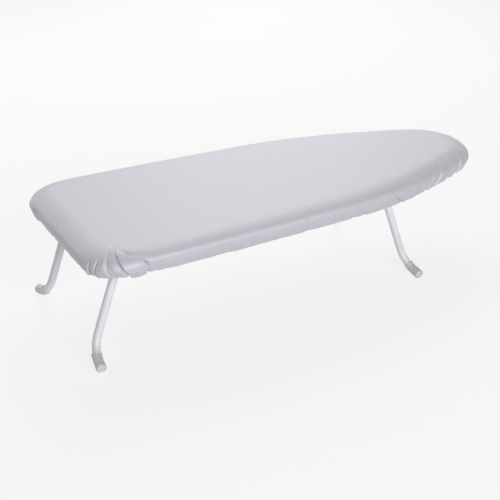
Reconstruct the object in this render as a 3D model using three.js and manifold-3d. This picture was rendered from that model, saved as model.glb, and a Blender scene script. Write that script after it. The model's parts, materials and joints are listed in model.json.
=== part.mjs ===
// Tabletop ironing board: a padded, cloth-covered mesh top on two folding U legs of bent tube.
// Millimetres, +Z up. The origin is on the table under the middle of the board, +X points to the nose.

import * as THREE from 'three';
import { mergeVertices } from 'three/addons/utils/BufferGeometryUtils.js';
import Module from 'manifold-3d';

const wasm = await Module();
wasm.setup();
const radians = THREE.MathUtils.degToRad;

// Board outline, seen from above
const boardLength = 730;
const boardWidth = 320;
const boardHeight = 178; // ironing surface above the table
const cornerRadius = 60; // wide end
const noseRadius = 90;
const shoulderRadius = 820; // side, where it curves in to the nose
const sideTurn = radians(24); // how far the side has turned in where the nose arc starts

// Cover, pad and hem
const coverThickness = 1;
const edgeReach = 34; // soft crowned top edge, inward
const edgeDrop = 12; // soft crowned top edge, downward
const edgeSteps = 3;
const skirtHeight = 34;
const hemInset = 8; // how far the elastic draws the hem in
const hemTurn = 8; // width of the cloth turned in under the rim
const gatherDepth = 2; // depth of the folds at the hem
const cornerFolds = 4;
const noseFolds = 6;
const foldUnevenness = 0.5; // how much shallower the shallowest fold is
const foldBeat = 5; // how often deep and shallow folds alternate in a radian of turn
const padThickness = 12;
const padEase = 0.8;
const elasticWidth = 5;
const elasticThickness = 1;

// Mesh top, rim and cross rails
const meshThickness = 1.5;
const meshLong = 72; // diamond pitch along the board
const meshShort = 28; // diamond pitch across the board
const meshStrand = 4;
const sheet = 1.2; // rim and rail steel
const rimEase = 0.4; // between the skirt and the rim's lower bend
const rimBend = 5;
const rimFlange = 13;
const rimLip = 9;
const railLap = 7; // rail end under the rim flange
const railEdge = 6; // web left beside a window or a saddle foot
const railLipDepth = 3;
const railJoggleRun = 4;

// Legs, feet and pivots
const tubeDiameter = 12;
const tubeWall = 1;
const widePivotInset = 61; // cross bar from the wide end
const nosePivotInset = 225.5; // cross bar from the nose
const legLean = radians(20); // open leg, outward from upright
const legSpread = 95.5; // upright's centre line from the middle
const legBend = 24;
const footBend = 34;
const footTurn = radians(75);
const footEnd = 12; // straight tube end after the bend
const capLength = 26;
const capWall = 1.3;
const capEnd = 2.5;
const capRound = 2;
const treadDepth = 0.8; // flat under each cap
const saddleThickness = 1.5;
const saddleWidth = 16;
const saddleFromBend = 26.5; // saddle's middle from the cross bar's bend
const saddleFoot = 13;
const rivetShank = 2;
const rivetHead = 4;
const rivetHeadHeight = 2.2;
const stopDepth = 6; // stop tab below the pivot
const stopWidth = 22;
const stopFromUpright = 6; // stop tab's middle, inward from the upright

// Clearances
const gap = 0.3;
const swingClear = 1;

// Heights, from the ironing surface down
const skirtBottom = boardHeight - skirtHeight;
const padTop = boardHeight - coverThickness - gap;
const padBottom = padTop - padThickness;
const meshTop = padBottom - gap;
const meshBottom = meshTop - meshThickness;
const rimTop = meshBottom - gap;
const rimBottom = skirtBottom + coverThickness + gap + elasticThickness + gap;
const railUnder = rimTop - sheet;
const tubeRadius = tubeDiameter / 2;
const pivotZ = railUnder - railLipDepth - swingClear - tubeRadius;

// Places along and across the board
const widePivotX = -boardLength / 2 + widePivotInset;
const nosePivotX = boardLength / 2 - nosePivotInset;
const saddleY = legSpread - legBend - saddleFromBend;

// How much of the gathers' depth the skirt has, from its top at 0 to its hem at 1
const gatherAtEdge = 0.15;
const skirtHang = (share) => THREE.MathUtils.lerp(gatherAtEdge, 1, share);

// Rim: as wide as fits inside the skirt beside its lower bend
const rimBendZ = rimBottom + rimBend * (1 - Math.SQRT1_2);
const rimBendShare = (boardHeight - edgeDrop - rimBendZ) / (skirtHeight - edgeDrop - coverThickness);
const skirtInside = coverThickness + hemInset * rimBendShare ** 2 + gatherDepth * skirtHang(rimBendShare);
const rimInset = skirtInside + rimEase - rimBend * (1 - Math.SQRT1_2);

// Finishes
const finish = (color, roughness, metalness) =>
  new THREE.MeshStandardMaterial({ color, roughness, metalness });
const silverCotton = finish(0xc3c0c4, 0.6, 0.25);
const whiteElastic = finish(0xe6e4e0, 0.9, 0);
const greyFoam = finish(0xb9b9b4, 0.95, 0);
const galvanised = finish(0xaeb2b5, 0.45, 0.9);
const powderCoat = finish(0xe9e9f0, 0.45, 0);
const softPlastic = finish(0xe4e1e1, 0.6, 0);

const board = new THREE.Group();

function addPiece(parent, name, geometry, material) {
  const mesh = new THREE.Mesh(geometry, material);
  mesh.name = name;
  parent.add(mesh);
  return mesh;
}

// Signed volume of a triangle skin, positive where the faces point out
function signedVolume(points, triangles) {
  const cross = new THREE.Vector3();
  let sum = 0;
  for (const [a, b, c] of triangles) {
    sum += points[a].dot(cross.crossVectors(points[b], points[c])) / 6;
  }
  return sum;
}

// Triangles that fill one flat ring
function capTriangles(ring, first) {
  const along = ring[1].clone().sub(ring[0]).normalize();
  const normal = new THREE.Vector3();
  ring.forEach((point, i) => {
    normal.add(new THREE.Vector3().crossVectors(point, ring[(i + 1) % ring.length]));
  });
  const across = normal.normalize().cross(along);
  const flat = ring.map((point) => new THREE.Vector2(point.dot(along), point.dot(across)));
  return THREE.ShapeUtils.triangulateShape(flat, []).map((face) => face.map((i) => i + first));
}

// Skin over a run of rings with equally many points. Flat caps close its two ends,
// and a run that closes on itself joins its last ring to its first.
function loft(rings, closed = false) {
  const count = rings[0].length;
  const points = rings.flat();
  const triangles = [];
  const bands = closed ? rings.length : rings.length - 1;
  for (let band = 0; band < bands; band++) {
    const here = band * count;
    const next = ((band + 1) % rings.length) * count;
    for (let i = 0; i < count; i++) {
      const j = (i + 1) % count;
      triangles.push([here + i, here + j, next + j], [here + i, next + j, next + i]);
    }
  }
  if (!closed) {
    const last = (rings.length - 1) * count;
    for (const face of capTriangles(rings[0], 0)) triangles.push(face.reverse());
    triangles.push(...capTriangles(rings.at(-1), last));
  }
  if (signedVolume(points, triangles) < 0) triangles.forEach((face) => face.reverse());
  const geometry = new THREE.BufferGeometry().setFromPoints(points);
  geometry.setIndex(triangles.flat());
  return geometry;
}

// Solids for joining and cutting, and the geometry that comes back from them
function toSolid(geometry) {
  const bare = geometry.clone();
  bare.deleteAttribute('normal');
  bare.deleteAttribute('uv');
  const merged = mergeVertices(bare, 1e-4);
  return new wasm.Manifold(new wasm.Mesh({
    numProp: 3,
    vertProperties: new Float32Array(merged.attributes.position.array),
    triVerts: new Uint32Array(merged.index.array),
  }));
}

function toGeometry(solid) {
  const mesh = solid.getMesh();
  const geometry = new THREE.BufferGeometry();
  geometry.setAttribute('position', new THREE.BufferAttribute(mesh.vertProperties, 3));
  geometry.setIndex(new THREE.BufferAttribute(mesh.triVerts, 1));
  return geometry;
}

// Box between two x, two y and two z values, in any order
function boxBetween([x0, x1], [y0, y1], [z0, z1]) {
  const box = new THREE.BoxGeometry(Math.abs(x1 - x0), Math.abs(y1 - y0), Math.abs(z1 - z0));
  return toSolid(box.translate((x0 + x1) / 2, (y0 + y1) / 2, (z0 + z1) / 2));
}

// Plan outline: a chain of tangent arcs, so that an inset keeps every centre and shortens the radii.
// The flank beside the wide end takes the radius that makes the chain close.
const sideRun = boardLength - cornerRadius
  - shoulderRadius * Math.sin(sideTurn) - noseRadius * (1 - Math.sin(sideTurn));
const sideFall = boardWidth / 2
  - shoulderRadius * (1 - Math.cos(sideTurn)) - noseRadius * Math.cos(sideTurn);
const flankTurn = 2 * Math.atan2(sideFall, sideRun);
const flankRadius = shoulderRadius + sideRun / Math.sin(flankTurn);

// Stations round the outline, each with its point, its outward normal and its share of a gather.
// The far half runs from the middle of the wide end to the nose, and the near half mirrors it.
function planStations(steps) {
  const cornerX = -boardLength / 2 + cornerRadius;
  const flankY = boardWidth / 2 - flankRadius;
  const bend = flankRadius - shoulderRadius;
  const arcs = [
    [cornerX, boardWidth / 2 - cornerRadius, cornerRadius, Math.PI, Math.PI / 2, steps.corner, cornerFolds],
    [cornerX, flankY, flankRadius, Math.PI / 2, Math.PI / 2 - flankTurn, steps.flank, 0],
    [cornerX + bend * Math.sin(flankTurn), flankY + bend * Math.cos(flankTurn), shoulderRadius,
      Math.PI / 2 - flankTurn, Math.PI / 2 - sideTurn, steps.shoulder, 0],
    [boardLength / 2 - noseRadius, 0, noseRadius, Math.PI / 2 - sideTurn, 0, steps.nose, noseFolds / 2],
  ];
  const half = [{ x: -boardLength / 2, y: 0, nx: -1, ny: 0, gather: 0 }];
  for (const [cx, cy, radius, from, to, count, folds] of arcs) {
    const first = half.length === 1 ? 0 : 1;
    for (let i = first; i <= count; i++) {
      const share = i / count;
      const angle = THREE.MathUtils.lerp(from, to, share);
      const nx = Math.cos(angle);
      const ny = Math.sin(angle);
      const depthShare = 1 - foldUnevenness * (0.5 - 0.5 * Math.cos(foldBeat * angle));
      const gather = depthShare * Math.sin(2 * Math.PI * folds * share);
      half.push({ x: cx + radius * nx, y: cy + radius * ny, nx, ny, gather });
    }
  }
  const mirrored = half.slice(1, -1).reverse().map((s) => ({ ...s, y: -s.y, ny: -s.ny }));
  return [...half, ...mirrored];
}
const clothStations = planStations({ corner: 4 * cornerFolds, flank: 3, shoulder: 6, nose: 2 * noseFolds });
const sheetStations = planStations({ corner: 8, flank: 2, shoulder: 4, nose: 7 });

// One ring at a height, inset from the outline; hang is how much of the gathers it follows
function planRing(stations, { inset, z, hang = 0 }) {
  return stations.map((s) => {
    const reach = inset + gatherDepth * hang * s.gather;
    return new THREE.Vector3(s.x - s.nx * reach, s.y - s.ny * reach, z);
  });
}

function outlineShape(inset) {
  return new THREE.Shape(planRing(sheetStations, { inset, z: 0 }).map((p) => new THREE.Vector2(p.x, p.y)));
}

function prism(shape, bottom, top) {
  const body = new THREE.ExtrudeGeometry(shape, { depth: top - bottom, bevelEnabled: false });
  return toSolid(body.translate(0, 0, bottom));
}

// Half of the inset outline's width at a place along the board
function halfWidthAt(x, inset) {
  const ring = planRing(sheetStations, { inset, z: 0 });
  const end = ring.findIndex((p, i) => i > 0 && p.x > x);
  const a = ring[end - 1];
  const b = ring[end];
  return THREE.MathUtils.lerp(a.y, b.y, (x - a.x) / (b.x - a.x));
}

// Section of the cover from the flat top round the edge, down the skirt and in under the rim.
// depth is the distance inside the outer face.
function coverSection(depth) {
  const rows = [];
  for (let i = 0; i <= edgeSteps; i++) {
    const angle = (Math.PI / 2) * (i / edgeSteps);
    rows.push({
      inset: edgeReach - (edgeReach - depth) * Math.sin(angle),
      z: boardHeight - edgeDrop + (edgeDrop - depth) * Math.cos(angle),
      hang: gatherAtEdge * (i / edgeSteps) ** 2,
    });
  }
  const skirtSteps = 3;
  const sideDrop = skirtHeight - edgeDrop - depth;
  for (let i = 1; i <= skirtSteps; i++) {
    const share = i / skirtSteps;
    rows.push({
      inset: depth + hemInset * share ** 2,
      z: boardHeight - edgeDrop - sideDrop * share,
      hang: skirtHang(share),
    });
  }
  rows.push({ inset: hemInset + hemTurn, z: skirtBottom + depth, hang: 1 });
  return rows;
}

function makeCover() {
  const outer = coverSection(0).map((row) => planRing(clothStations, row));
  const inner = coverSection(coverThickness).map((row) => planRing(clothStations, row));
  addPiece(board, 'cover', loft([...outer, ...inner.reverse()]), silverCotton);

  const low = skirtBottom + coverThickness + gap;
  const high = low + elasticThickness;
  const outside = hemInset + hemTurn - elasticWidth - gap;
  const inside = outside + elasticWidth;
  const corners = [[outside, low], [inside, low], [inside, high], [outside, high]];
  const band = corners.map(([inset, z]) => planRing(clothStations, { inset, z, hang: 1 }));
  addPiece(board, 'hem_elastic', loft(band, true), whiteElastic);
}

// Foam pad: its rounded edge fills the cover's edge down to the mesh
function makePad() {
  const depth = coverThickness + padEase;
  const rise = edgeDrop - depth;
  const bottomRise = padBottom - (boardHeight - edgeDrop);
  const endAngle = Math.acos(bottomRise / rise);
  const rows = [];
  for (let i = 0; i <= edgeSteps; i++) {
    const angle = i < edgeSteps ? (Math.PI / 2) * (i / edgeSteps) : endAngle;
    rows.push({
      inset: edgeReach - (edgeReach - depth) * Math.sin(angle),
      z: padBottom + (rise * Math.cos(angle) - bottomRise) * (padThickness / (rise - bottomRise)),
    });
  }
  addPiece(board, 'foam_pad', loft(rows.map((row) => planRing(sheetStations, row))), greyFoam);
}

// The part of a convex polygon that lies inside the inset outline
function clipToOutline(polygon, outline) {
  let kept = polygon;
  outline.forEach((a, i) => {
    const b = outline[(i + 1) % outline.length];
    const side = (p) => (b.x - a.x) * (p.y - a.y) - (b.y - a.y) * (p.x - a.x);
    const next = [];
    kept.forEach((p, k) => {
      const q = kept[(k + 1) % kept.length];
      const here = side(p);
      const there = side(q);
      if (here <= 0) next.push(p);
      if (here * there < 0) next.push(p.clone().lerp(q, here / (here - there)));
    });
    kept = next;
  });
  return kept;
}

// Expanded steel sheet: staggered diamonds inside a plain border that lies on the rim flange
function makeMeshTop() {
  const border = planRing(sheetStations, { inset: rimInset + rimFlange, z: 0 });
  const halfLong = meshLong / 2;
  const halfShort = meshShort / 2;
  const shrink = 1 - (meshStrand / 2) * Math.hypot(1 / halfLong, 1 / halfShort);
  const reachX = halfLong * shrink;
  const reachY = halfShort * shrink;
  const tips = [[reachX, 0], [0, reachY], [-reachX, 0], [0, -reachY]];
  const columns = Math.ceil(boardLength / meshLong);
  const lines = Math.ceil(boardWidth / meshShort);
  const holes = [];
  for (let i = -columns; i <= columns; i++) {
    for (let j = -lines; j <= lines; j++) {
      if ((i + j) % 2 !== 0) continue;
      const centre = new THREE.Vector2(i * halfLong, j * halfShort);
      if (clipToOutline([centre], border).length === 0) continue;
      const whole = tips.map(([x, y]) => new THREE.Vector2(centre.x + x, centre.y + y));
      const clipped = clipToOutline(whole, border);
      const diamond = clipped.filter((p, k) => p.distanceTo(clipped[(k + 1) % clipped.length]) > gap);
      holes.push(prism(new THREE.Shape(diamond), meshBottom - gap, meshTop + gap));
    }
  }
  const plate = prism(outlineShape(rimInset), meshBottom, meshTop);
  addPiece(board, 'mesh_top', toGeometry(wasm.Manifold.difference([plate, ...holes])), galvanised);
}

// Rim: a roll-formed channel, open inward, whose top flange carries the mesh
function makeRim() {
  const skin = (depth) => {
    const bend = rimBend - depth;
    const rows = [{ inset: rimInset + rimFlange, z: rimTop - depth }];
    const bendSteps = 3;
    for (const [z, start] of [[rimTop - rimBend, 0], [rimBottom + rimBend, Math.PI / 2]]) {
      for (let i = 0; i <= bendSteps; i++) {
        const angle = start + (Math.PI / 2) * (i / bendSteps);
        rows.push({ inset: rimInset + rimBend - bend * Math.sin(angle), z: z + bend * Math.cos(angle) });
      }
    }
    rows.push({ inset: rimInset + rimLip, z: rimBottom + depth });
    return rows.map((row) => planRing(sheetStations, row));
  };
  addPiece(board, 'rim', loft([...skin(0), ...skin(sheet).reverse()], true), galvanised);
}

// Saddle and rivet places, measured from the pivot
const saddleBore = tubeRadius + gap;
const saddleReach = saddleBore + saddleThickness + saddleFoot;
const rivetX = saddleReach - saddleFoot / 2;
const rivetHole = rivetShank + gap;
const holeSides = 12;

// Stop tab: the open leg's tube lies against its lower edge
const stopX = (tubeRadius + gap + stopDepth * Math.sin(legLean)) / Math.cos(legLean);
const stopLength = railUnder - (pivotZ - stopDepth);
const stopY = legSpread - stopFromUpright;

// Cross rail: a web under the mesh with turned-down lips, two lanced stop tabs with their windows,
// and ends that step down to lap under the rim flange
function makeRail(name, pivotX, outward) {
  const at = (x) => pivotX + outward * x;
  const outerX = stopX + sheet + stopLength + railEdge;
  const innerX = -(saddleReach + railEdge);
  const span = [at(innerX), at(outerX)];
  const flangeEdge = Math.min(...span.map((x) => halfWidthAt(x, rimInset + rimFlange)));
  const stepY = flangeEdge - swingClear;
  const crownY = stepY - railJoggleRun;
  const drop = sheet + gap;
  const side = [[crownY, 0], [stepY, -drop], [boardWidth, -drop]];
  const top = [...side.map(([y, z]) => [-y, z]).reverse(), ...side];
  const under = top.map(([y, z]) => [y, z - sheet]).reverse();
  const profile = new THREE.Shape([...top, ...under].map(([y, z]) => new THREE.Vector2(y, z)));
  const web = new THREE.ExtrudeGeometry(profile, { depth: outerX - innerX, bevelEnabled: false });
  web.rotateX(Math.PI / 2).rotateZ(Math.PI / 2);
  web.translate(Math.min(...span), 0, rimTop);

  let rail = toSolid(web);
  for (const [from, to] of [[innerX, innerX + sheet], [outerX - sheet, outerX]]) {
    const lip = [railUnder - railLipDepth, rimTop - sheet / 2];
    rail = rail.add(boxBetween([at(from), at(to)], [-crownY, crownY], lip));
  }
  const lapTop = railUnder - gap;
  const underFlange = prism(outlineShape(rimInset + rimFlange - railLap), rimBottom, lapTop);
  const insideFlange = prism(outlineShape(rimInset + rimFlange + gap), rimBottom, rimTop + sheet);
  rail = rail.intersect(underFlange.add(insideFlange));
  const drill = new THREE.CylinderGeometry(rivetHole, rivetHole, 4 * sheet, holeSides).rotateX(Math.PI / 2);
  for (const way of [-1, 1]) {
    const stopSpan = [way * stopY - stopWidth / 2, way * stopY + stopWidth / 2];
    const window = [at(stopX + sheet), at(stopX + sheet + stopLength)];
    rail = rail.subtract(boxBetween(window, stopSpan, [railUnder - sheet, rimTop + sheet]));
    const tab = [railUnder - stopLength, rimTop - sheet / 2];
    rail = rail.add(boxBetween([at(stopX), at(stopX + sheet)], stopSpan, tab));
    for (const x of [-rivetX, rivetX]) {
      rail = rail.subtract(toSolid(drill.clone().translate(at(x), way * saddleY, railUnder)));
    }
  }
  addPiece(board, name, toGeometry(rail), galvanised);
}

// Saddle: an omega strap round the cross bar, with a foot on each side for a rivet
function saddleGeometry() {
  const outside = saddleBore + saddleThickness;
  const footTop = railUnder - gap - pivotZ;
  const footUnder = footTop - saddleThickness;
  const shape = new THREE.Shape();
  shape.moveTo(-saddleReach, footTop);
  shape.lineTo(-saddleBore, footTop);
  shape.absarc(0, 0, saddleBore, Math.PI, 2 * Math.PI, false);
  shape.lineTo(saddleBore, footTop);
  shape.lineTo(saddleReach, footTop);
  shape.lineTo(saddleReach, footUnder);
  shape.lineTo(outside, footUnder);
  shape.absarc(0, 0, outside, 0, -Math.PI, true);
  shape.lineTo(-outside, footUnder);
  shape.lineTo(-saddleReach, footUnder);
  const options = { depth: saddleWidth, bevelEnabled: false, curveSegments: 10 };
  const strap = new THREE.ExtrudeGeometry(shape, options);
  strap.translate(0, 0, -saddleWidth / 2).rotateX(Math.PI / 2);
  const hole = new THREE.CylinderGeometry(rivetHole, rivetHole, footTop, holeSides).rotateX(Math.PI / 2);
  let solid = toSolid(strap);
  for (const x of [-rivetX, rivetX]) {
    solid = solid.subtract(toSolid(hole.clone().translate(x, 0, footUnder)));
  }
  return toGeometry(solid);
}

// Rivet: a domed head under the saddle's foot, and a shank that ends flush with the rail's top
function rivetGeometry() {
  const shank = rimTop - (railUnder - gap - saddleThickness - gap);
  const profile = [new THREE.Vector2(0, -rivetHeadHeight)];
  const domeSteps = 3;
  for (let i = 1; i <= domeSteps; i++) {
    const angle = (Math.PI / 2) * (i / domeSteps);
    profile.push(new THREE.Vector2(rivetHead * Math.sin(angle), -rivetHeadHeight * Math.cos(angle)));
  }
  profile.push(new THREE.Vector2(rivetShank, 0));
  profile.push(new THREE.Vector2(rivetShank, shank));
  profile.push(new THREE.Vector2(0, shank));
  const turned = new THREE.LatheGeometry(profile, 10).rotateX(Math.PI / 2);
  return toGeometry(toSolid(turned));
}

function makeSaddles(end, pivotX) {
  const saddle = saddleGeometry();
  const rivet = rivetGeometry();
  const rivetZ = railUnder - gap - saddleThickness - gap;
  for (const [side, y] of [['front', -saddleY], ['rear', saddleY]]) {
    const strap = addPiece(board, `saddle_${end}_${side}`, saddle.clone(), galvanised);
    strap.position.set(pivotX, y, pivotZ);
    for (const [mark, x] of [['a', -rivetX], ['b', rivetX]]) {
      const pin = addPiece(board, `rivet_${end}_${side}_${mark}`, rivet.clone(), galvanised);
      pin.position.set(pivotX + x, y, rivetZ);
    }
  }
}

// Leg in its own plane: y across, z along the leg, the pivot at the origin.
// The tread takes treadDepth off the lowest point of the cap's end.
const capRadius = tubeRadius + gap + capWall;
const endFall = Math.cos(footTurn) * Math.cos(legLean);
const tipHeight = capRadius * Math.sqrt(1 - endFall ** 2) + (capEnd - capRound) * endFall - treadDepth;
const tipZ = -(pivotZ - tipHeight) / Math.cos(legLean);
const bendStart = tipZ + footBend * Math.sin(footTurn) + footEnd * Math.cos(footTurn);
const tipY = legSpread + footBend * (1 - Math.cos(footTurn)) + footEnd * Math.sin(footTurn);

// A place on the leg's centre line, and the direction that the line has there (0 is along +y, a
// quarter turn is straight down)
const place = (y, z, angle) => ({ y, z, angle });

function footPlace(fromTip) {
  const endAngle = Math.PI / 2 - footTurn;
  if (fromTip <= footEnd) {
    return place(tipY - fromTip * Math.cos(endAngle), tipZ + fromTip * Math.sin(endAngle), endAngle);
  }
  const turned = footTurn - (fromTip - footEnd) / footBend;
  const y = legSpread + footBend * (1 - Math.cos(turned));
  return place(y, bendStart - footBend * Math.sin(turned), Math.PI / 2 - turned);
}

function legPlaces() {
  const half = [];
  const bendSteps = 6;
  for (let i = 0; i <= bendSteps; i++) {
    const angle = (Math.PI / 2) * (i / bendSteps);
    const y = legSpread - legBend + legBend * Math.sin(angle);
    half.push(place(y, -legBend + legBend * Math.cos(angle), angle));
  }
  const footSteps = 6;
  for (let i = 0; i <= footSteps; i++) {
    half.push(footPlace(footEnd + footBend * footTurn * (1 - i / footSteps)));
  }
  half.push(footPlace(0));
  const mirrored = half.map((p) => place(-p.y, p.z, -p.angle)).reverse();
  return [...mirrored, ...half];
}

// A round ring square to the centre line
function tubeRing(at, radius, sides) {
  const ring = [];
  for (let i = 0; i < sides; i++) {
    const turn = (2 * Math.PI * i) / sides;
    const lift = radius * Math.sin(turn);
    ring.push(new THREE.Vector3(
      radius * Math.cos(turn),
      at.y + lift * Math.sin(at.angle),
      at.z + lift * Math.cos(at.angle),
    ));
  }
  return ring;
}

const tubeSides = 12;

function legGeometry() {
  const places = legPlaces();
  const outer = places.map((p) => tubeRing(p, tubeRadius, tubeSides));
  const bore = places.map((p) => tubeRing(p, tubeRadius - tubeWall, tubeSides)).reverse();
  return loft([...outer, ...bore], true);
}

// Foot cap: a sleeve that follows the bend, with a rounded closed end and a flat tread
function capGeometry(way, toLeg) {
  const ringAt = (fromTip, radius) => {
    const at = footPlace(fromTip);
    return tubeRing(place(way * at.y, at.z, way * at.angle), radius, tubeSides);
  };
  const boreRadius = tubeRadius + gap;
  const along = [footEnd, (footEnd + capLength) / 2, capLength];
  const rings = [ringAt(-gap, boreRadius)];
  for (const fromTip of along) rings.push(ringAt(fromTip, boreRadius));
  for (const fromTip of [...along.toReversed(), 0]) rings.push(ringAt(fromTip, capRadius));
  const roundSteps = 3;
  for (let i = 1; i <= roundSteps; i++) {
    const angle = (Math.PI / 2) * (i / roundSteps);
    const reach = capEnd - capRound + capRound * Math.sin(angle);
    rings.push(ringAt(-reach, capRadius - capRound * (1 - Math.cos(angle))));
  }
  const table = new THREE.BoxGeometry(boardLength, boardWidth, boardHeight);
  table.translate(0, way * tipY, -boardHeight / 2).applyMatrix4(toLeg);
  return toGeometry(toSolid(loft(rings)).subtract(toSolid(table)));
}

// Each leg is the same bent tube; the nose leg is turned half round
function makeLeg(end, pivotX, turn) {
  const leg = new THREE.Group();
  leg.position.set(pivotX, 0, pivotZ);
  leg.rotation.set(0, legLean, turn, 'ZYX');
  board.add(leg);
  addPiece(leg, `leg_${end}`, legGeometry(), powderCoat);
  const toLeg = new THREE.Matrix4().makeRotationY(legLean).setPosition(0, 0, pivotZ).invert();
  const sides = turn === 0 ? ['front', 'rear'] : ['rear', 'front'];
  addPiece(leg, `foot_${end}_${sides[0]}`, capGeometry(-1, toLeg), softPlastic);
  addPiece(leg, `foot_${end}_${sides[1]}`, capGeometry(1, toLeg), softPlastic);
}

makeCover();
makePad();
makeMeshTop();
makeRim();
makeRail('rail_wide', widePivotX, -1);
makeRail('rail_nose', nosePivotX, 1);
makeSaddles('wide', widePivotX);
makeSaddles('nose', nosePivotX);
makeLeg('wide', widePivotX, 0);
makeLeg('nose', nosePivotX, Math.PI);

export default board;
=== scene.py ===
# %% [markdown]
# # A tabletop ironing board
# The measured parts of the board are loaded first and stay where they are. Each step then dresses one part:
# the gathered cotton cover, the foam pad, the bent tube legs with their plastic feet, and the steel below.
# All lengths are in metres, in the frame of the measured parts: +X to the nose, +Y to the rear, +Z up.

import json
import math

import bmesh
import bpy
import numpy as np
from mathutils import Matrix, Vector, noise


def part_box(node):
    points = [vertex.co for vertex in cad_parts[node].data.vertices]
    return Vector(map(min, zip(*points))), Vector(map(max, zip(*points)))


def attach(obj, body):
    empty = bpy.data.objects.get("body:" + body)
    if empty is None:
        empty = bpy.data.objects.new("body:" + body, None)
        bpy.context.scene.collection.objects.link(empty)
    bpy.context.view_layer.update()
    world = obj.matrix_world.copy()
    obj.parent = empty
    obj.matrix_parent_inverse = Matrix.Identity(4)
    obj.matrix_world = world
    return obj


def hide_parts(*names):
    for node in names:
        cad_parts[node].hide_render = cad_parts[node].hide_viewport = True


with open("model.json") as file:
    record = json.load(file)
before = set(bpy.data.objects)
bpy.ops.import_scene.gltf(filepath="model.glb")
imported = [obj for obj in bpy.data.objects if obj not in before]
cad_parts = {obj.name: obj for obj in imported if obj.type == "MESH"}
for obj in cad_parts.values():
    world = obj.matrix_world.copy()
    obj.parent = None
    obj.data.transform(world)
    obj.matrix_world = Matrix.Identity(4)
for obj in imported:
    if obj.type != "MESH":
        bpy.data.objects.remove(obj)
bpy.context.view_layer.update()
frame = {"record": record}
bpy.ops.object.select_all(action="DESELECT")
MM = 0.001

# %% [markdown]
# ## The camera
# The photograph was taken from the front left, a little above the board. The angles, the distance and the
# shift below were worked out from the board's outline in the picture, so the same corner of the board falls
# on the same pixel. A long lens with a small shift keeps the photograph's framing without turning the camera.

# %% Place the camera
CAMERA_AZIMUTH = math.radians(-30.436)
CAMERA_ELEVATION = math.radians(24.465)
CAMERA_DISTANCE = 1.6003
CAMERA_AIM = Vector((0, 0, 100 * MM))
SENSOR_WIDTH = 36
IMAGE_WIDTH = 500
FOCAL_PIXELS = 995.4
SHIFT_RIGHT_PIXELS = 26.02
SHIFT_DOWN_PIXELS = -32.35

camera_back = Vector((
    math.sin(CAMERA_AZIMUTH) * math.cos(CAMERA_ELEVATION),
    -math.cos(CAMERA_AZIMUTH) * math.cos(CAMERA_ELEVATION),
    math.sin(CAMERA_ELEVATION),
))
camera_data = bpy.data.cameras.new("camera")
camera = bpy.data.objects.new("camera", camera_data)
bpy.context.scene.collection.objects.link(camera)
camera.location = CAMERA_AIM + camera_back * CAMERA_DISTANCE
camera.rotation_euler = (-camera_back).to_track_quat("-Z", "Y").to_euler()
camera_data.sensor_width = SENSOR_WIDTH
camera_data.lens = FOCAL_PIXELS / IMAGE_WIDTH * SENSOR_WIDTH
camera_data.shift_x = -SHIFT_RIGHT_PIXELS / IMAGE_WIDTH
camera_data.shift_y = SHIFT_DOWN_PIXELS / IMAGE_WIDTH
bpy.context.scene.camera = camera
print("camera at", [round(x, 3) for x in camera.location], "lens", round(camera_data.lens, 1))

# %% [markdown]
# ## Colours and shader nodes
# Colours are written as the sRGB hex values a paint program shows, and one function turns them into the
# linear values that the shader needs. A second small function adds a node with its settings and its links,
# and a third starts a material.

# %% Helpers for materials
def linear(code):
    """The linear colour of an sRGB hex code such as "c9c8cc"."""
    channels = []
    for i in (0, 2, 4):
        value = int(code[i:i + 2], 16) / 255
        channels.append(value / 12.92 if value <= 0.04045 else ((value + 0.055) / 1.055) ** 2.4)
    return (*channels, 1.0)


def add_node(tree, kind, settings=None, links=None):
    """One node with its settings, which are properties or unlinked inputs, and its linked inputs."""
    node = tree.nodes.new(kind)
    for name, value in (settings or {}).items():
        if isinstance(name, int) or name in node.inputs:
            node.inputs[name].default_value = value
        else:
            setattr(node, name, value)
    for name, socket in (links or {}).items():
        tree.links.new(socket, node.inputs[name])
    return node


def new_material(name, settings):
    """A material whose Principled shader has these settings, with its node tree and shader."""
    material = bpy.data.materials.new(name)
    material.use_nodes = True
    tree = material.node_tree
    shader = tree.nodes["Principled BSDF"]
    for socket, value in settings.items():
        shader.inputs[socket].default_value = value
    return material, tree, shader


# %% [markdown]
# ## The board's outline
# Seen from above the board is a chain of arcs that run into each other: a straight wide end, a round corner,
# a nearly straight flank, a long shoulder and a round nose. One function gives a point and its outward
# direction at any distance along that line, so the cover, the pad and the rim all follow the same edge.

# %% Measure along the outline
cover_low, cover_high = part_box("cover")
LENGTH = cover_high.x - cover_low.x
WIDTH = cover_high.y - cover_low.y
TOP = cover_high.z
CORNER_RADIUS = 60 * MM
NOSE_RADIUS = 90 * MM
SHOULDER_RADIUS = 820 * MM
SIDE_TURN = math.radians(24)

nose_run = NOSE_RADIUS * (1 - math.sin(SIDE_TURN))
side_run = LENGTH - CORNER_RADIUS - SHOULDER_RADIUS * math.sin(SIDE_TURN) - nose_run
side_fall = WIDTH / 2 - SHOULDER_RADIUS * (1 - math.cos(SIDE_TURN)) - NOSE_RADIUS * math.cos(SIDE_TURN)
flank_turn = 2 * math.atan2(side_fall, side_run)
flank_radius = SHOULDER_RADIUS + side_run / math.sin(flank_turn)
corner_x = -LENGTH / 2 + CORNER_RADIUS
flank_y = WIDTH / 2 - flank_radius
shoulder_shift = flank_radius - SHOULDER_RADIUS
wide_run = WIDTH / 2 - CORNER_RADIUS
QUARTER = math.pi / 2
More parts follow.
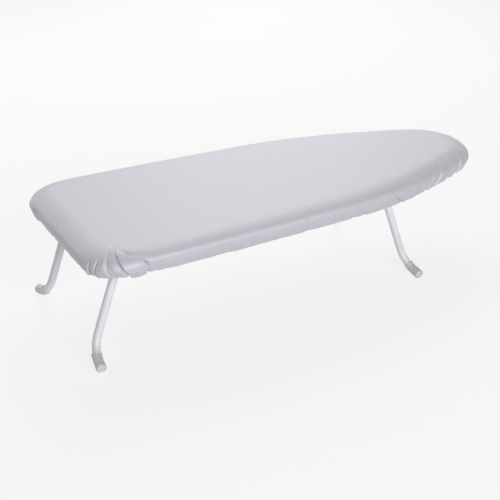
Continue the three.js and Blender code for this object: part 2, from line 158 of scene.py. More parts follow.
# Each arc: centre x, centre y, radius, the direction it starts facing, and how far it turns
ARCS = [
    (corner_x, wide_run, CORNER_RADIUS, math.pi, QUARTER),
    (corner_x, flank_y, flank_radius, QUARTER, flank_turn),
    (corner_x + shoulder_shift * math.sin(flank_turn), flank_y + shoulder_shift * math.cos(flank_turn),
     SHOULDER_RADIUS, QUARTER - flank_turn, SIDE_TURN - flank_turn),
    (LENGTH / 2 - NOSE_RADIUS, 0, NOSE_RADIUS, QUARTER - SIDE_TURN, QUARTER - SIDE_TURN),
]
stretches = [wide_run] + [radius * turn for _, _, radius, _, turn in ARCS]
HALF_ROUND = sum(stretches)


def outline_place(along):
    """Point and outward direction on the outline. along starts at the wide end; the front is positive."""
    left = abs(along)
    x, y, facing = -LENGTH / 2, left, math.pi
    if left > wide_run:
        left -= wide_run
        for centre_x, centre_y, radius, start, turn in ARCS:
            facing = start - min(left / radius, turn)
            x = centre_x + radius * math.cos(facing)
            y = centre_y + radius * math.sin(facing)
            if left <= radius * turn:
                break
            left -= radius * turn
    side = -1 if along >= 0 else 1
    return x, side * y, math.cos(facing), side * math.sin(facing)


def round_stations(steps):
    """Distances round the whole outline, with so many steps on each stretch of one half."""
    half = [0.0]
    start = 0.0
    for length, count in zip(stretches, steps):
        half += [start + length * (i + 1) / count for i in range(count)]
        start += length
    return np.array(half + [-a for a in half[-2:0:-1]])


print("half way round the outline:", round(HALF_ROUND, 4), "m")

# %% [markdown]
# ## The cover's section
# The cotton lies flat on the foam, bends softly over its edge, falls down the side as a skirt and is drawn in
# under the rim by the elastic in its hem. Cut across the edge, that is a flattened quarter round, a skirt
# that leans in and a short turned-in flap. Elastic pulls hardest where the outline curves, so the corners and
# the nose have a rounder section with a shorter skirt. Both sections have the same rows, and every place
# along the outline takes a share of each. The creases need the distance up the cloth from the hem.

# %% Draw the two sections from the flat top down to the flap
EDGE_REACH = 32 * MM
EDGE_DROP = 13.5 * MM
HEM_INSET = 6 * MM
ROUND_REACH = 36 * MM
ROUND_DROP = 22 * MM
ROUND_HEM_INSET = 4.5 * MM
HEM = cover_low.z
HEM_TURN = 8 * MM
HEM_ROLL = 1.5 * MM
EDGE_ROWS = 22
SKIRT_ROWS = 11
ROLL_ROWS = 3
FLAP_ROWS = 2
SKIRT_CURVE = 1.6  # the power with which the skirt turns in towards its hem
FLAT_INSETS = (54 * MM, 48 * MM, 42 * MM, 37 * MM)


def cover_section(reach, drop, hem_inset):
    """Inset and height of each row, from the flat top to the flap's free edge."""
    rows = [(inset, TOP) for inset in FLAT_INSETS]
    for i in range(EDGE_ROWS + 1):
        angle = QUARTER * i / EDGE_ROWS
        rows.append((reach * (1 - math.sin(angle)), TOP - drop * (1 - math.cos(angle))))
    skirt_top = TOP - drop
    for i in range(1, SKIRT_ROWS + 1):
        share = i / SKIRT_ROWS
        rows.append((hem_inset * share ** SKIRT_CURVE, skirt_top + (HEM + HEM_ROLL - skirt_top) * share))
    for i in range(1, ROLL_ROWS + 1):
        angle = QUARTER * i / ROLL_ROWS
        rows.append((hem_inset + HEM_ROLL * (1 - math.cos(angle)), HEM + HEM_ROLL * (1 - math.sin(angle))))
    for i in range(1, FLAP_ROWS + 1):
        rows.append((hem_inset + HEM_ROLL + (HEM_TURN - HEM_ROLL) * i / FLAP_ROWS, HEM))
    return np.array(rows)


def outward_of(rows):
    """The cloth's outward direction on each row: its share outwards and its share upwards."""
    along_section = np.gradient(rows, axis=0)
    facing = np.stack([-along_section[:, 1], -along_section[:, 0]], -1)
    facing /= np.linalg.norm(facing, axis=1)[:, None]
    facing[hem_row - ROLL_ROWS:] = facing[hem_row - ROLL_ROWS - 1]
    return facing


section = cover_section(EDGE_REACH, EDGE_DROP, HEM_INSET)
round_section = cover_section(ROUND_REACH, ROUND_DROP, ROUND_HEM_INSET)
hem_row = len(section) - FLAP_ROWS - 1
facing = outward_of(section)
round_facing = outward_of(round_section)
steps_down = np.hypot(np.diff(section[:, 0]), np.diff(section[:, 1]))
cloth_down = np.concatenate([[0], np.cumsum(steps_down)])
cloth_up = np.maximum(cloth_down[hem_row] - cloth_down, 0)
hem_share = np.clip((TOP - EDGE_DROP - section[:, 1]) / (TOP - EDGE_DROP - HEM), 0, 1) ** 2
print("rows:", len(section))
print("cloth from the flat top to the hem:", round(cloth_up[len(FLAT_INSETS)] / MM, 1), "mm")

# %% Share out the two sections round the board
CORNER_ROUNDNESS = 0.8
CORNER_ROUND_SPREAD = 50 * MM
END_ROUNDNESS = 0.35
END_ROUND_FADE = 12 * MM
NOSE_ROUNDNESS = 0.7
NOSE_ROUND_START = 665 * MM
NOSE_ROUND_FADE = 26 * MM
corner_middle = wide_run + stretches[1] / 2


def share_near(along, middle, spread, power=2):
    """1 at that distance from the wide end's middle, on both sides, and 0 well away from it."""
    return np.exp(-((np.abs(along) - middle) / spread) ** power)


def share_beyond(along, start, fade):
    """0 before that distance from the wide end's middle and 1 beyond it, on both sides."""
    return 1 / (1 + np.exp(-(np.abs(along) - start) / fade))


def edge_roundness(along):
    """The share of the round section: most of it at the corners and the nose, some along the wide end."""
    corner = CORNER_ROUNDNESS * share_near(along, corner_middle, CORNER_ROUND_SPREAD, 4)
    end = END_ROUNDNESS * (1 - share_beyond(along, wide_run, END_ROUND_FADE))
    nose = NOSE_ROUNDNESS * share_beyond(along, NOSE_ROUND_START, NOSE_ROUND_FADE)
    return np.clip(np.maximum(corner, end) + nose, 0, 1)


print("share of the round section at a corner:", round(float(edge_roundness(corner_middle)), 2))

# %% [markdown]
# ## The creases
# Elastic draws a flat piece of cloth round a corner, so the spare cloth folds into creases that start at the
# hem and run up over the edge. Each crease below is one of those in the photograph, or one like them on the
# sides that it doesn't show: where it meets the hem, how far it leans, how far up it runs, how deep and how
# wide it is. A crease is a pleat: on one side the cloth stands a little proud and drops steeply into a narrow
# groove, and on the other it comes back gently.

# %% List the creases
# Distance along the hem, lean at the top end, run up the cloth, depth, width, and the power of its curl,
# all but the last in millimetres. A negative width puts the proud side on the other side.
FRONT_CREASES = [
    (83, 3, 14, 1.2, 1.4, 1.0),
    (119, 6, 30, 3.4, 1.9, 1.0),
    (129, 8, 36, 3.8, 2.0, 1.0),
    (141, 2, 26, 0.9, 2.4, 1.0),
    (150, 3, 30, 1.0, -2.4, 1.0),
    (157, -12, 54, 2.6, 8.0, 1.0),
    (166, -9, 26, 3.0, 1.9, 1.0),
    (186, -27, 50, 6.5, -2.5, 1.2),
    (195, -4, 16, 1.8, 1.5, 1.0),
    (210, -40, 51, 7.0, 2.8, 3.2),
    (236, 5, 40, 0.7, 2.4, 1.0),
    (272, -6, 42, 0.9, 3.4, 1.0),
    (279, 7, 40, 0.6, -3.0, 1.0),
    (316, 5, 42, 0.9, 2.2, 1.0),
    (463, 2, 40, 1.2, 2.8, 1.0),
    (472, 9, 36, 0.8, -3.6, 1.0),
    (548, 6, 38, 0.7, 3.4, 1.0),
    (574, -4, 34, 0.7, -3.0, 1.0),
    (598, 5, 36, 0.8, 3.6, 1.0),
    (622, 10, 36, 0.9, 4.0, 1.0),
    (655, -22, 19, 3.6, -1.7, 1.0),
    (667, 5, 34, 1.2, -3.4, 1.0),
    (694, 6, 34, 1.2, 4.0, 1.0),
    (716, 14, 38, 1.8, -4.2, 1.0),
    (738, 26, 46, 3.2, -4.4, 1.0),
    (776, 8, 52, 3.0, 9.0, 1.0),
    (800, 5, 50, 4.4, 2.2, 1.0),
    (811, 8, 46, 2.4, -2.6, 1.0),
    (838, -6, 40, 2.0, 5.0, 1.0),
    (866, -4, 36, 1.8, 4.0, 1.0),
    (893, 5, 38, 2.2, 3.4, 1.0),
]
REAR_CREASES = [
    (84, 2, 28, 3.8, 2.0, 1.0),
    (109, -5, 28, 1.2, -2.0, 1.0),
    (127, 8, 32, 2.2, 1.6, 1.0),
    (148, -7, 34, 2.8, 1.7, 1.2),
    (163, 6, 28, 1.4, -2.2, 1.0),
    (181, -12, 34, 2.8, 1.7, 1.2),
    (203, -12, 32, 3.0, 1.8, 1.4),
    (247, 4, 36, 0.8, 2.8, 1.0),
    (351, -5, 40, 0.8, 2.8, 1.0),
    (509, 6, 38, 1.0, -2.4, 1.0),
    (633, -9, 36, 2.0, 2.4, 1.0),
    (699, 8, 38, 1.4, -3.0, 1.0),
    (757, -14, 42, 2.4, 2.6, 1.2),
    (811, 7, 44, 2.6, 2.4, 1.0),
    (847, -8, 36, 1.8, -2.6, 1.0),
    (881, 6, 38, 2.0, 2.4, 1.0),
    (917, -3, 34, 1.6, 2.6, 1.0),
]
creases = [tuple(v * MM for v in c[:5]) + c[5:] for c in FRONT_CREASES]
creases += [(-c[0] * MM, -c[1] * MM, *(v * MM for v in c[2:5]), c[5]) for c in REAR_CREASES]
print("creases:", len(creases))

# %% Fold the cloth along the creases
# Grooves, runs, places and laps are in widths of the crease, and the shares are of its depth
GROOVE_STEEP = 0.45
GROOVE_GENTLE = 0.8
VALLEY_SHARE = 0.3
VALLEY_RUN = 4.5
PUFF_SHARE = 0.09
PUFF_PLACE = 3.5
PUFF_RUN = 3.0
CREASE_TAPER = 0.25  # how much narrower a crease is at its top end
LIP_LAP = 0.7
LAP_PLACE = 0.9
LAP_RUN = 0.8
LAP_DEPTH = 4 * MM  # from this depth on the lip laps in full


def wrap_round(distance):
    """A distance along the outline, taken the short way round."""
    return (distance + HALF_ROUND) % (2 * HALF_ROUND) - HALF_ROUND


def crease_shape(along, up):
    """How far the creases move the cloth in and along the hem, at one height up the cloth."""
    pulled = np.zeros_like(along)
    slid = np.zeros_like(along)
    for at, lean, reach, depth, width, curl in creases:
        if up >= reach:
            continue
        share = up / reach
        slant = lean * curl * share ** (curl - 1) / reach
        square = 1 / math.hypot(1, slant)
        side = math.copysign(1, width)
        away = side * square * wrap_round(along - at - lean * share ** curl)
        strength = depth * (1 - share ** 3)
        narrow = abs(width) * (1 - CREASE_TAPER * share)
        steep = np.exp(-(away / (GROOVE_STEEP * narrow)) ** 2)
        gentle = np.exp(-(away / (GROOVE_GENTLE * narrow)) ** 2)
        valley = np.exp(-np.maximum(away, 0) / (VALLEY_RUN * narrow))
        groove = np.where(away < 0, steep, (1 - VALLEY_SHARE) * gentle + VALLEY_SHARE * valley)
        puff = np.exp(-((away + PUFF_PLACE * narrow) / (PUFF_RUN * narrow)) ** 2)
        pulled += strength * (groove - PUFF_SHARE * puff)
        lap = np.exp(-((away + LAP_PLACE * narrow) / (LAP_RUN * narrow)) ** 2)
        slid += side * square ** 3 * LIP_LAP * narrow * min(1, strength / LAP_DEPTH) * lap
    return pulled, slid


print("creases that meet the hem near a corner:",
      sum(abs(abs(c[0]) - corner_middle) < CORNER_RADIUS for c in creases))

# %% Spread the sheet's points round the hem
PLAIN_GATHER = 0.55  # the share of spare cloth along the sides
GATHER_SPREAD = 52 * MM
NOSE_GATHER = 0.75
NOSE_GATHER_START = 690 * MM
NOSE_GATHER_FADE = 35 * MM
PLAIN_STEP = 6 * MM
GATHER_STEP = 2.5 * MM
CREASE_STEP = 0.7 * MM
CREASE_SPREAD = 1.6  # in widths of the crease
CREASE_DEPTH = 2.6 * MM  # from this depth on a crease gets the closest points
MEASURE_COUNT = 12001  # places at which the spacing is worked out


def gather_share(along):
    """How much spare cloth there is: all of it round the corners and the nose, about half along the sides."""
    corner = share_near(along, corner_middle, GATHER_SPREAD, 4)
    nose = share_beyond(along, NOSE_GATHER_START, NOSE_GATHER_FADE)
    return np.clip(PLAIN_GATHER + corner + NOSE_GATHER * nose, 0, 1)


def cloth_stations():
    """Distances round the hem for the sheet's points, close together where there are creases."""
    fine = np.linspace(-HALF_ROUND, HALF_ROUND, MEASURE_COUNT)
    density = 1 / PLAIN_STEP + gather_share(fine) * (1 / GATHER_STEP - 1 / PLAIN_STEP)
    for at, lean, _, depth, width, _ in creases:
        spread = abs(lean) / 2 + CREASE_SPREAD * abs(width)
        near = np.exp(-(wrap_round(fine - at - lean / 2) / spread) ** 6)
        weight = min(1, depth / CREASE_DEPTH)
        density = np.maximum(density, near * weight / CREASE_STEP)
    total = np.concatenate([[0], np.cumsum((density[1:] + density[:-1]) / 2 * np.diff(fine))])
    count = int(total[-1])
    return np.interp(np.arange(count) * total[-1] / count, total, fine)


hem_stations = cloth_stations()
print("points round the hem:", len(hem_stations))

# %% [markdown]
# ## The cover
# Cloth like this could be simulated from the flat cut, but the photograph shows which creases there are, so
# the sheet is laid out ring by ring on the section and folded along the creases. Every point also remembers
# where it was on the flat cut, so that the weave follows the cloth over the edge and down the skirt. The flat
# middle needs few points: its rings close in on a line down the middle of the board.

# %% Lay the sheet's rows
WRINKLE_DEPTH = 1.5 * MM
SWAY_DEPTH = 0.7 * MM
HEM_WAVE = 0.8 * MM
# Each ripple: its pitch along the hem, its run up the cloth, and where in the noise it starts
WIDE_WRINKLES = (9 * MM, 55 * MM, 0.3)
FINE_WRINKLES = (4.5 * MM, 30 * MM, 8.3)
FINE_SHARE = 0.6  # the fine wrinkles' depth beside the wide ones'
SWAY = (34 * MM, 90 * MM, 2.9)
HEM_RIPPLE = (26 * MM, 1, 5.1)
PLAIN_WAVE = 0.4  # the share of the hem's wave where nothing is gathered
TOP_WRINKLES = 0.1  # the share of the wrinkles that is left far above the hem
HANG_RUN = 22 * MM  # how far up from the hem the cloth moves freely
EDGE_EASE = 12 * MM  # over this distance from the first row the folds come in
FOLD_LIFT = 0.4  # how far a fold lifts the cloth, as a share of how far it goes in
LIFT_REACH = 30 * MM  # how far up from the hem a fold lifts the cloth
PAD_WAVE = 0.08 * MM
PAD_WAVE_LONG = 90 * MM
PAD_WAVE_ACROSS = 50 * MM
PAD_WAVE_START = 3.7
LEVEL_ENOUGH = 0.9  # rows that face up by this much follow the padded top
CORNER_TUCK = 0.5 * MM
CORNER_TUCK_SPREAD = 45 * MM
TIP_EASE = 3 * MM
TIP_EASE_SPREAD = 70 * MM
TIP_PUFF = 2 * MM
TIP_PUFF_SPREAD = 90 * MM
DROOP = 3.5 * MM
DROOP_MIDDLE = 645 * MM
DROOP_SPREAD = 75 * MM
RIM_CLEARANCE = 0.8 * MM
rim_low, rim_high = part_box("rim")
RIM_INSET = LENGTH / 2 - rim_high.x


def pad_wave(x, y):
    """Small soft unevenness of the padded top."""
    return PAD_WAVE * noise.noise(Vector((x / PAD_WAVE_LONG, y / PAD_WAVE_ACROSS, PAD_WAVE_START)))


def ripple(along, up, pitch, run, start):
    """Soft uneven ripples of that pitch along the hem, drawn out up the cloth."""
    turn = along * math.pi / HALF_ROUND
    radius = HALF_ROUND / math.pi / pitch
    height = up / run + start
    circle = zip(radius * np.cos(turn), radius * np.sin(turn))
    return np.array([noise.noise(Vector((x, y, height))) for x, y in circle])


def lay_rows(stations):
    """Points of every row and every station on the sheet, and their places on the flat cut."""
    x, y, nx, ny = np.array([outline_place(a) for a in stations]).T
    rows, flats = [], []
    gathered = gather_share(stations)
    # the hem lies further in at the corners and less far in at the nose's tip, where the cloth is slack and
    # stands out from the foam, and it hangs lower where the side turns into the nose
    tuck = CORNER_TUCK * share_near(stations, corner_middle, CORNER_TUCK_SPREAD)
    tuck -= TIP_EASE * share_near(stations, HALF_ROUND, TIP_EASE_SPREAD)
    puff = TIP_PUFF * share_near(stations, HALF_ROUND, TIP_PUFF_SPREAD)
    droop = DROOP * share_near(stations, DROOP_MIDDLE, DROOP_SPREAD)
    hem_height = HEM_WAVE * ripple(stations, 0, *HEM_RIPPLE) * (PLAIN_WAVE + (1 - PLAIN_WAVE) * gathered)
    roundness = edge_roundness(stations)
    for row in range(len(section)):
        inset, height = np.outer(1 - roundness, section[row]).T + np.outer(roundness, round_section[row]).T
        out, rise = np.outer(1 - roundness, facing[row]).T + np.outer(roundness, round_facing[row]).T
        up = cloth_up[row]
        hang = math.exp(-up / HANG_RUN)
        pulled, slid = crease_shape(stations, up)
        wrinkles = ripple(stations, up, *WIDE_WRINKLES) + FINE_SHARE * ripple(stations, up, *FINE_WRINKLES)
        uneven = WRINKLE_DEPTH * wrinkles * gathered + SWAY_DEPTH * ripple(stations, up, *SWAY)
        pulled += uneven * (TOP_WRINKLES + (1 - TOP_WRINKLES) * hang)
        pulled *= min(1, cloth_down[row] / EDGE_EASE)
        reach = inset + tuck * hem_share[row] - puff * out * (1 - hem_share[row]) + pulled * out
        beside_rim = (height < rim_high.z) & (height > rim_low.z)
        reach = np.where(beside_rim, np.minimum(reach, RIM_INSET - RIM_CLEARANCE), reach)
        lift = hem_height + FOLD_LIFT * np.maximum(pulled, 0)
        z = height - pulled * rise + hang * lift * (up < LIFT_REACH)
        z -= droop * hem_share[row] ** 0.5
        if facing[row, 1] > LEVEL_ENOUGH:
            z = z + np.array([pad_wave(a, b) for a, b in zip(x - nx * inset, y - ny * inset)])
        # turned by a quarter, the outward direction runs along the hem the way that the distance grows
        way_x, way_y = -ny, nx
        rows.append(np.stack([x - nx * reach + way_x * slid, y - ny * reach + way_y * slid, z], -1))
        spread = cloth_down[row] - section[0, 0]
        flats.append(np.stack([x + nx * spread, y + ny * spread], -1))
    return rows, flats


cloth_rows, cloth_cut = lay_rows(hem_stations)
print("lowest point of the hem:", round(float(min(row[:, 2].min() for row in cloth_rows)), 4), "m")

# %% Join the rows into the sheet
MIDDLE_STEPS = (10, 16, 20, 24, 16)
MIDDLE_RINGS = 8
MIDDLE_START = 56 * MM
MIDDLE_INSET = 100 * MM
COTTON_THICKNESS = 0.6 * MM
WELD = 0.01 * MM  # points closer than this are made one


def middle_rows(stations):
    """Rings on the flat top, from the first one to the line down the middle of the board."""
    x, y, nx, ny = np.array([outline_place(a) for a in stations]).T
    ring = np.stack([x - nx * MIDDLE_START, y - ny * MIDDLE_START], -1)
    line_x = np.clip(ring[:, 0], -LENGTH / 2 + MIDDLE_INSET, LENGTH / 2 - MIDDLE_INSET)
    line = np.stack([line_x, 0 * line_x], -1)
    rows = []
    for i in range(MIDDLE_RINGS + 1):
        share = i / MIDDLE_RINGS
        flat = ring * (1 - share) + line * share
        z = np.array([TOP + pad_wave(a, b) for a, b in flat])
        rows.append(np.column_stack([flat, z]))
    return rows


def band_faces(first, second, count):
    """Quads between two rings of the same count."""
    return [(first + i, first + (i + 1) % count, second + (i + 1) % count, second + i) for i in range(count)]


def zip_faces(outer, outer_at, inner, inner_at):
    """Triangles between two rings of different counts, each with its rising distances along the outline."""
    faces = []
    i = j = 0
    while i < len(outer) or j < len(inner):
        next_outer = outer_at[i + 1] if i + 1 < len(outer) else HALF_ROUND if i < len(outer) else math.inf
        next_inner = inner_at[j + 1] if j + 1 < len(inner) else HALF_ROUND if j < len(inner) else math.inf
        here, there = outer[i % len(outer)], inner[j % len(inner)]
        if next_outer <= next_inner:
            faces.append((there, outer[(i + 1) % len(outer)], here))
            i += 1
        else:
            faces.append((here, there, inner[(j + 1) % len(inner)]))
            j += 1
    return faces


def add_piece(name, points, faces):
    """A new piece made of these points and faces."""
    mesh = bpy.data.meshes.new(name)
    mesh.from_pydata(points, [], faces)
    piece = bpy.data.objects.new(name, mesh)
    bpy.context.scene.collection.objects.link(piece)
    return piece


def make_cover():
    """The cotton sheet as one mesh, with the flat cut as its UV map."""
    count = len(hem_stations)
    inside = round_stations(MIDDLE_STEPS)
    inside[inside >= HALF_ROUND] -= 2 * HALF_ROUND
    inside = np.sort(inside)
    middle = middle_rows(inside)
    points = np.concatenate(cloth_rows + middle)
    cut = np.concatenate(cloth_cut + [ring[:, :2] for ring in middle])
    faces = []
    for row in range(len(cloth_rows) - 1):
        faces += band_faces(row * count, (row + 1) * count, count)
    start = len(cloth_rows) * count
    size = len(inside)
    faces += zip_faces(list(range(count)), hem_stations, list(range(start, start + size)), inside)
    for ring in range(MIDDLE_RINGS):
        faces += band_faces(start + (ring + 1) * size, start + ring * size, size)
    cover = add_piece("cotton_cover", points.tolist(), faces)
    mesh = cover.data
    uv = mesh.uv_layers.new(name="flat_cut")
    corners = np.zeros(len(mesh.loops), np.int32)
    mesh.loops.foreach_get("vertex_index", corners)
    uv.data.foreach_set("uv", cut[corners].astype(np.float32).ravel())
    sheet = bmesh.new()
    sheet.from_mesh(mesh)
    bmesh.ops.remove_doubles(sheet, verts=sheet.verts, dist=WELD)
    bmesh.ops.recalc_face_normals(sheet, faces=sheet.faces)
    top_face = max(sheet.faces, key=lambda face: face.calc_area())
    if top_face.normal.z < 0:
        bmesh.ops.reverse_faces(sheet, faces=sheet.faces)
    sheet.to_mesh(mesh)
    sheet.free()
    mesh.shade_smooth()
    return cover


def apply_modifier(piece, kind, settings):
    """Add one modifier with its settings and apply it."""
    modifier = piece.modifiers.new(kind.lower(), kind)
    for name, value in settings.items():
        setattr(modifier, name, value)
    bpy.context.view_layer.objects.active = piece
    bpy.ops.object.modifier_apply(modifier=modifier.name)


cover = make_cover()
apply_modifier(cover, "SOLIDIFY", {"thickness": COTTON_THICKNESS, "offset": -1})
print("cover faces:", len(cover.data.polygons))

# %% [markdown]
# ## Metallised cotton
# The cover is plain-weave cotton with a thin aluminium coat on its face. The coat gives a soft, wide silver
# gleam that changes with the angle, and the weave keeps it from shining like foil.

# %% The cotton's material
THREAD = 1.4 * MM  # the real threads are about 0.4 mm apart, too fine to show
SLUB = 5 * MM  # thicker stretches of thread, which run along the board


def metallised_cotton():
    """Silver-grey cotton: a faintly metallic weave with slightly uneven threads."""
    material, tree, shader = new_material("metallised_cotton", {
        "Metallic": 0.15,
        "Roughness": 0.56,
        "Specular IOR Level": 0.35,
        "Sheen Weight": 0.15,
        "Sheen Roughness": 0.5,
    })
    cut = add_node(tree, "ShaderNodeUVMap", {"uv_map": "flat_cut"})
    heights = []
    for turn in (0, QUARTER):
        threads = add_node(tree, "ShaderNodeMapping", {"Rotation": (0, 0, turn)},
                           {"Vector": cut.outputs["UV"]})
        wave = add_node(tree, "ShaderNodeTexWave", {
            "bands_direction": "X",
            "Scale": math.pi / 10 / THREAD,
            "Distortion": 1.2,
            "Detail": 1.0,
            "Detail Scale": 0.6,
        }, {"Vector": threads.outputs["Vector"]})
        heights.append(wave.outputs["Fac"])
    weave = add_node(tree, "ShaderNodeMath", {"operation": "MAXIMUM"}, {0: heights[0], 1: heights[1]})
    drawn = add_node(tree, "ShaderNodeMapping", {"Scale": (0.3, 1, 1)}, {"Vector": cut.outputs["UV"]})
    slub = add_node(tree, "ShaderNodeTexNoise", {"Scale": 1 / SLUB, "Detail": 5.0, "Roughness": 0.65},
                    {"Vector": drawn.outputs["Vector"]})
    tone = add_node(tree, "ShaderNodeValToRGB", {}, {"Fac": slub.outputs["Fac"]})
    tone.color_ramp.elements[0].position = 0.3
    tone.color_ramp.elements[0].color = linear("cac7d0")
    tone.color_ramp.elements[1].position = 0.7
    tone.color_ramp.elements[1].color = linear("cfccd5")
    tree.links.new(tone.outputs["Color"], shader.inputs["Base Color"])
    bump = add_node(tree, "ShaderNodeBump", {"Strength": 0.3, "Distance": 0.15 * MM},
                    {"Height": weave.outputs["Value"]})
    tree.links.new(bump.outputs["Normal"], shader.inputs["Normal"])
    return material


cotton = metallised_cotton()
cover.data.materials.append(cotton)
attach(cover, "board")
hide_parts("cover")

# %% [markdown]
# ## The foam pad
# Under the cover lies a thick foam pad with the same soft edge. It only shows from below, between the strands
# of the mesh, so it needs few rings. It follows the cover's section just inside the cotton and has a flat
# base.

# %% Make the pad
PAD_CLEARANCE = 1.5 * MM
PAD_EDGE = 5 * MM
PAD_BEVEL = 1.2 * MM
PAD_STEPS = (12, 20, 26, 30, 24)
pad_low, pad_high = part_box("foam_pad")


def make_pad():
    """The foam slab: the cover's rounder edge, drawn in a little, over a flat base."""
    places = np.array([outline_place(a) for a in round_stations(PAD_STEPS)])
    edge = [row for row in round_section if row[1] > pad_low.z + PAD_CLEARANCE]
    rows = [(inset + PAD_EDGE, min(height - PAD_CLEARANCE, pad_high.z)) for inset, height in edge]
    rows += [(rows[-1][0], pad_low.z), (rows[0][0], pad_low.z)]
    points, faces = [], []
    count = len(places)
    for inset, height in rows:
        points += [(x - nx * inset, y - ny * inset, height) for x, y, nx, ny in places]
    for row in range(len(rows) - 1):
        faces += band_faces(row * count, (row + 1) * count, count)
    faces.append(tuple(range(count - 1, -1, -1)))
    faces.append(tuple(range((len(rows) - 1) * count, len(rows) * count)))
    pad = add_piece("foam_slab", points, faces)
    solid = bmesh.new()
    solid.from_mesh(pad.data)
    bmesh.ops.recalc_face_normals(solid, faces=solid.faces)
    solid.to_mesh(pad.data)
    solid.free()
    return pad


def soften_edges(piece, width, angle):
    """Bevel the edges whose faces meet at more than that angle, in degrees."""
    apply_modifier(piece, "BEVEL", {
        "width": width,
        "segments": 2,
        "limit_method": "ANGLE",
        "angle_limit": math.radians(angle),
    })


pad = make_pad()
soften_edges(pad, PAD_BEVEL, 50)
pad.data.shade_smooth()
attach(pad, "board")
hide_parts("foam_pad")
print("pad faces:", len(pad.data.polygons))


# %% The pad's material
def polyether_foam():
    """Grey open-cell foam: a dull surface broken by small cells, their hollows darkened with painted shade.
    """
    material, tree, shader = new_material("polyether_foam", {"Roughness": 0.95, "Specular IOR Level": 0.2})
    place = add_node(tree, "ShaderNodeTexCoord")
    # the real cells are about 0.5 mm; they are drawn 1.6 mm wide so that they show
    cells = add_node(tree, "ShaderNodeTexVoronoi", {"Scale": 1 / (1.6 * MM)},
                     {"Vector": place.outputs["Object"]})
    # the middle of each cell, which the bump sinks, is painted darker: painted shade in the cells' hollows
    tone = add_node(tree, "ShaderNodeValToRGB", {}, {"Fac": cells.outputs["Distance"]})
    tone.color_ramp.elements[0].position = 0.1
    tone.color_ramp.elements[0].color = linear("a3a29d")
    tone.color_ramp.elements[1].position = 0.6
    tone.color_ramp.elements[1].color = linear("bdbcb7")
    tree.links.new(tone.outputs["Color"], shader.inputs["Base Color"])
    bump = add_node(tree, "ShaderNodeBump", {"Strength": 0.5, "Distance": 0.5 * MM},
                    {"Height": cells.outputs["Distance"]})
    tree.links.new(bump.outputs["Normal"], shader.inputs["Normal"])
    return material


pad.data.materials.append(polyether_foam())

# %% [markdown]
# ## The legs
# Each leg is one steel tube bent into a U: a cross bar under the board, a bend at each end, a straight
# upright and a last bend that turns the foot outwards. A tube bender does just that, so the tube is made the
# same way: a circle is pushed along the straights and spun round each bend. One half is made and mirrored.

# %% Helpers for pushing a ring along
def start_ring(name, radius, sides, centre, tilt):
    """A circle of vertices in edit mode, square to a line that is tilted about X from straight down."""
    bpy.ops.object.select_all(action="DESELECT")
    bpy.ops.mesh.primitive_circle_add(vertices=sides, radius=radius, location=centre, rotation=(tilt, 0, 0))
    piece = bpy.context.object
    piece.name = name
    piece.data.name = name
    bpy.ops.object.transform_apply(location=True, rotation=True, scale=True)
    bpy.ops.object.mode_set(mode="EDIT")
    bpy.ops.mesh.select_all(action="SELECT")
    return piece


def push(way):
    """Extrude what is selected by this much."""
    bpy.ops.mesh.extrude_region_move(TRANSFORM_OT_translate={"value": tuple(way)})


def swing(angle, centre, steps, axis=(1, 0, 0)):
    """Extrude what is selected round a bend; the operator counts its angle the other way."""
    bpy.ops.mesh.spin(steps=steps, angle=-angle, center=tuple(centre), axis=axis)


def close_mesh():
    """Merge doubles, turn the faces outwards and leave edit mode."""
    bpy.ops.mesh.select_all(action="SELECT")
    bpy.ops.mesh.remove_doubles(threshold=WELD)
    bpy.ops.mesh.normals_make_consistent(inside=False)
    bpy.ops.object.mode_set(mode="OBJECT")


def mirror_half(piece):
    """Close the half that is being edited, mirror it to the other side and close the whole."""
    close_mesh()
    apply_modifier(piece, "MIRROR", {"use_axis": (False, True, False), "merge_threshold": WELD})
    bpy.ops.object.mode_set(mode="EDIT")
    close_mesh()


# %% Bend the tube
TUBE_RADIUS = 6 * MM
TUBE_SIDES = 36
LEG_LEAN = math.radians(20)
LEG_SPREAD = 95.5 * MM
LEG_BEND = 24 * MM
FOOT_BEND = 34 * MM
FOOT_TURN = math.radians(75)
FOOT_END = 12 * MM
CAP_RADIUS = 7.6 * MM
CAP_END = 2.5 * MM
CAP_ROUND = 2 * MM
TREAD_DEPTH = 0.8 * MM
BEND_STEPS = 18

joints = {joint["name"]: joint for joint in frame["record"]["behaviour"]["joints"]}
pivots = {end: Vector(joints[f"{end}_leg_fold"]["pos_m"]) for end in ("wide", "nose")}
end_fall = math.cos(FOOT_TURN) * math.cos(LEG_LEAN)
tip_height = CAP_RADIUS * math.sqrt(1 - end_fall ** 2) + (CAP_END - CAP_ROUND) * end_fall - TREAD_DEPTH
tip_z = -(pivots["wide"].z - tip_height) / math.cos(LEG_LEAN)
bend_start = tip_z + FOOT_BEND * math.sin(FOOT_TURN) + FOOT_END * math.cos(FOOT_TURN)
foot_way = Vector((0, math.sin(FOOT_TURN), -math.cos(FOOT_TURN)))
foot_centre = Vector((0, LEG_SPREAD + FOOT_BEND, bend_start))
leg_places = {
    end: Matrix.Translation(pivots[end]) @ Matrix.Rotation(turn, 4, "Z") @ Matrix.Rotation(LEG_LEAN, 4, "Y")
    for end, turn in (("wide", 0), ("nose", math.pi))
}


def bend_tube():
    """One leg in its own plane, with its pivot at the origin."""
    tube = start_ring("leg_tube", TUBE_RADIUS, TUBE_SIDES, (0, 0, 0), QUARTER)
    push((0, LEG_SPREAD - LEG_BEND, 0))
    swing(-QUARTER, (0, LEG_SPREAD - LEG_BEND, -LEG_BEND), BEND_STEPS)
    push((0, 0, bend_start + LEG_BEND))
    swing(FOOT_TURN, foot_centre, BEND_STEPS)
    push(foot_way * FOOT_END)
    bpy.ops.mesh.edge_face_add()
    mirror_half(tube)
    return tube


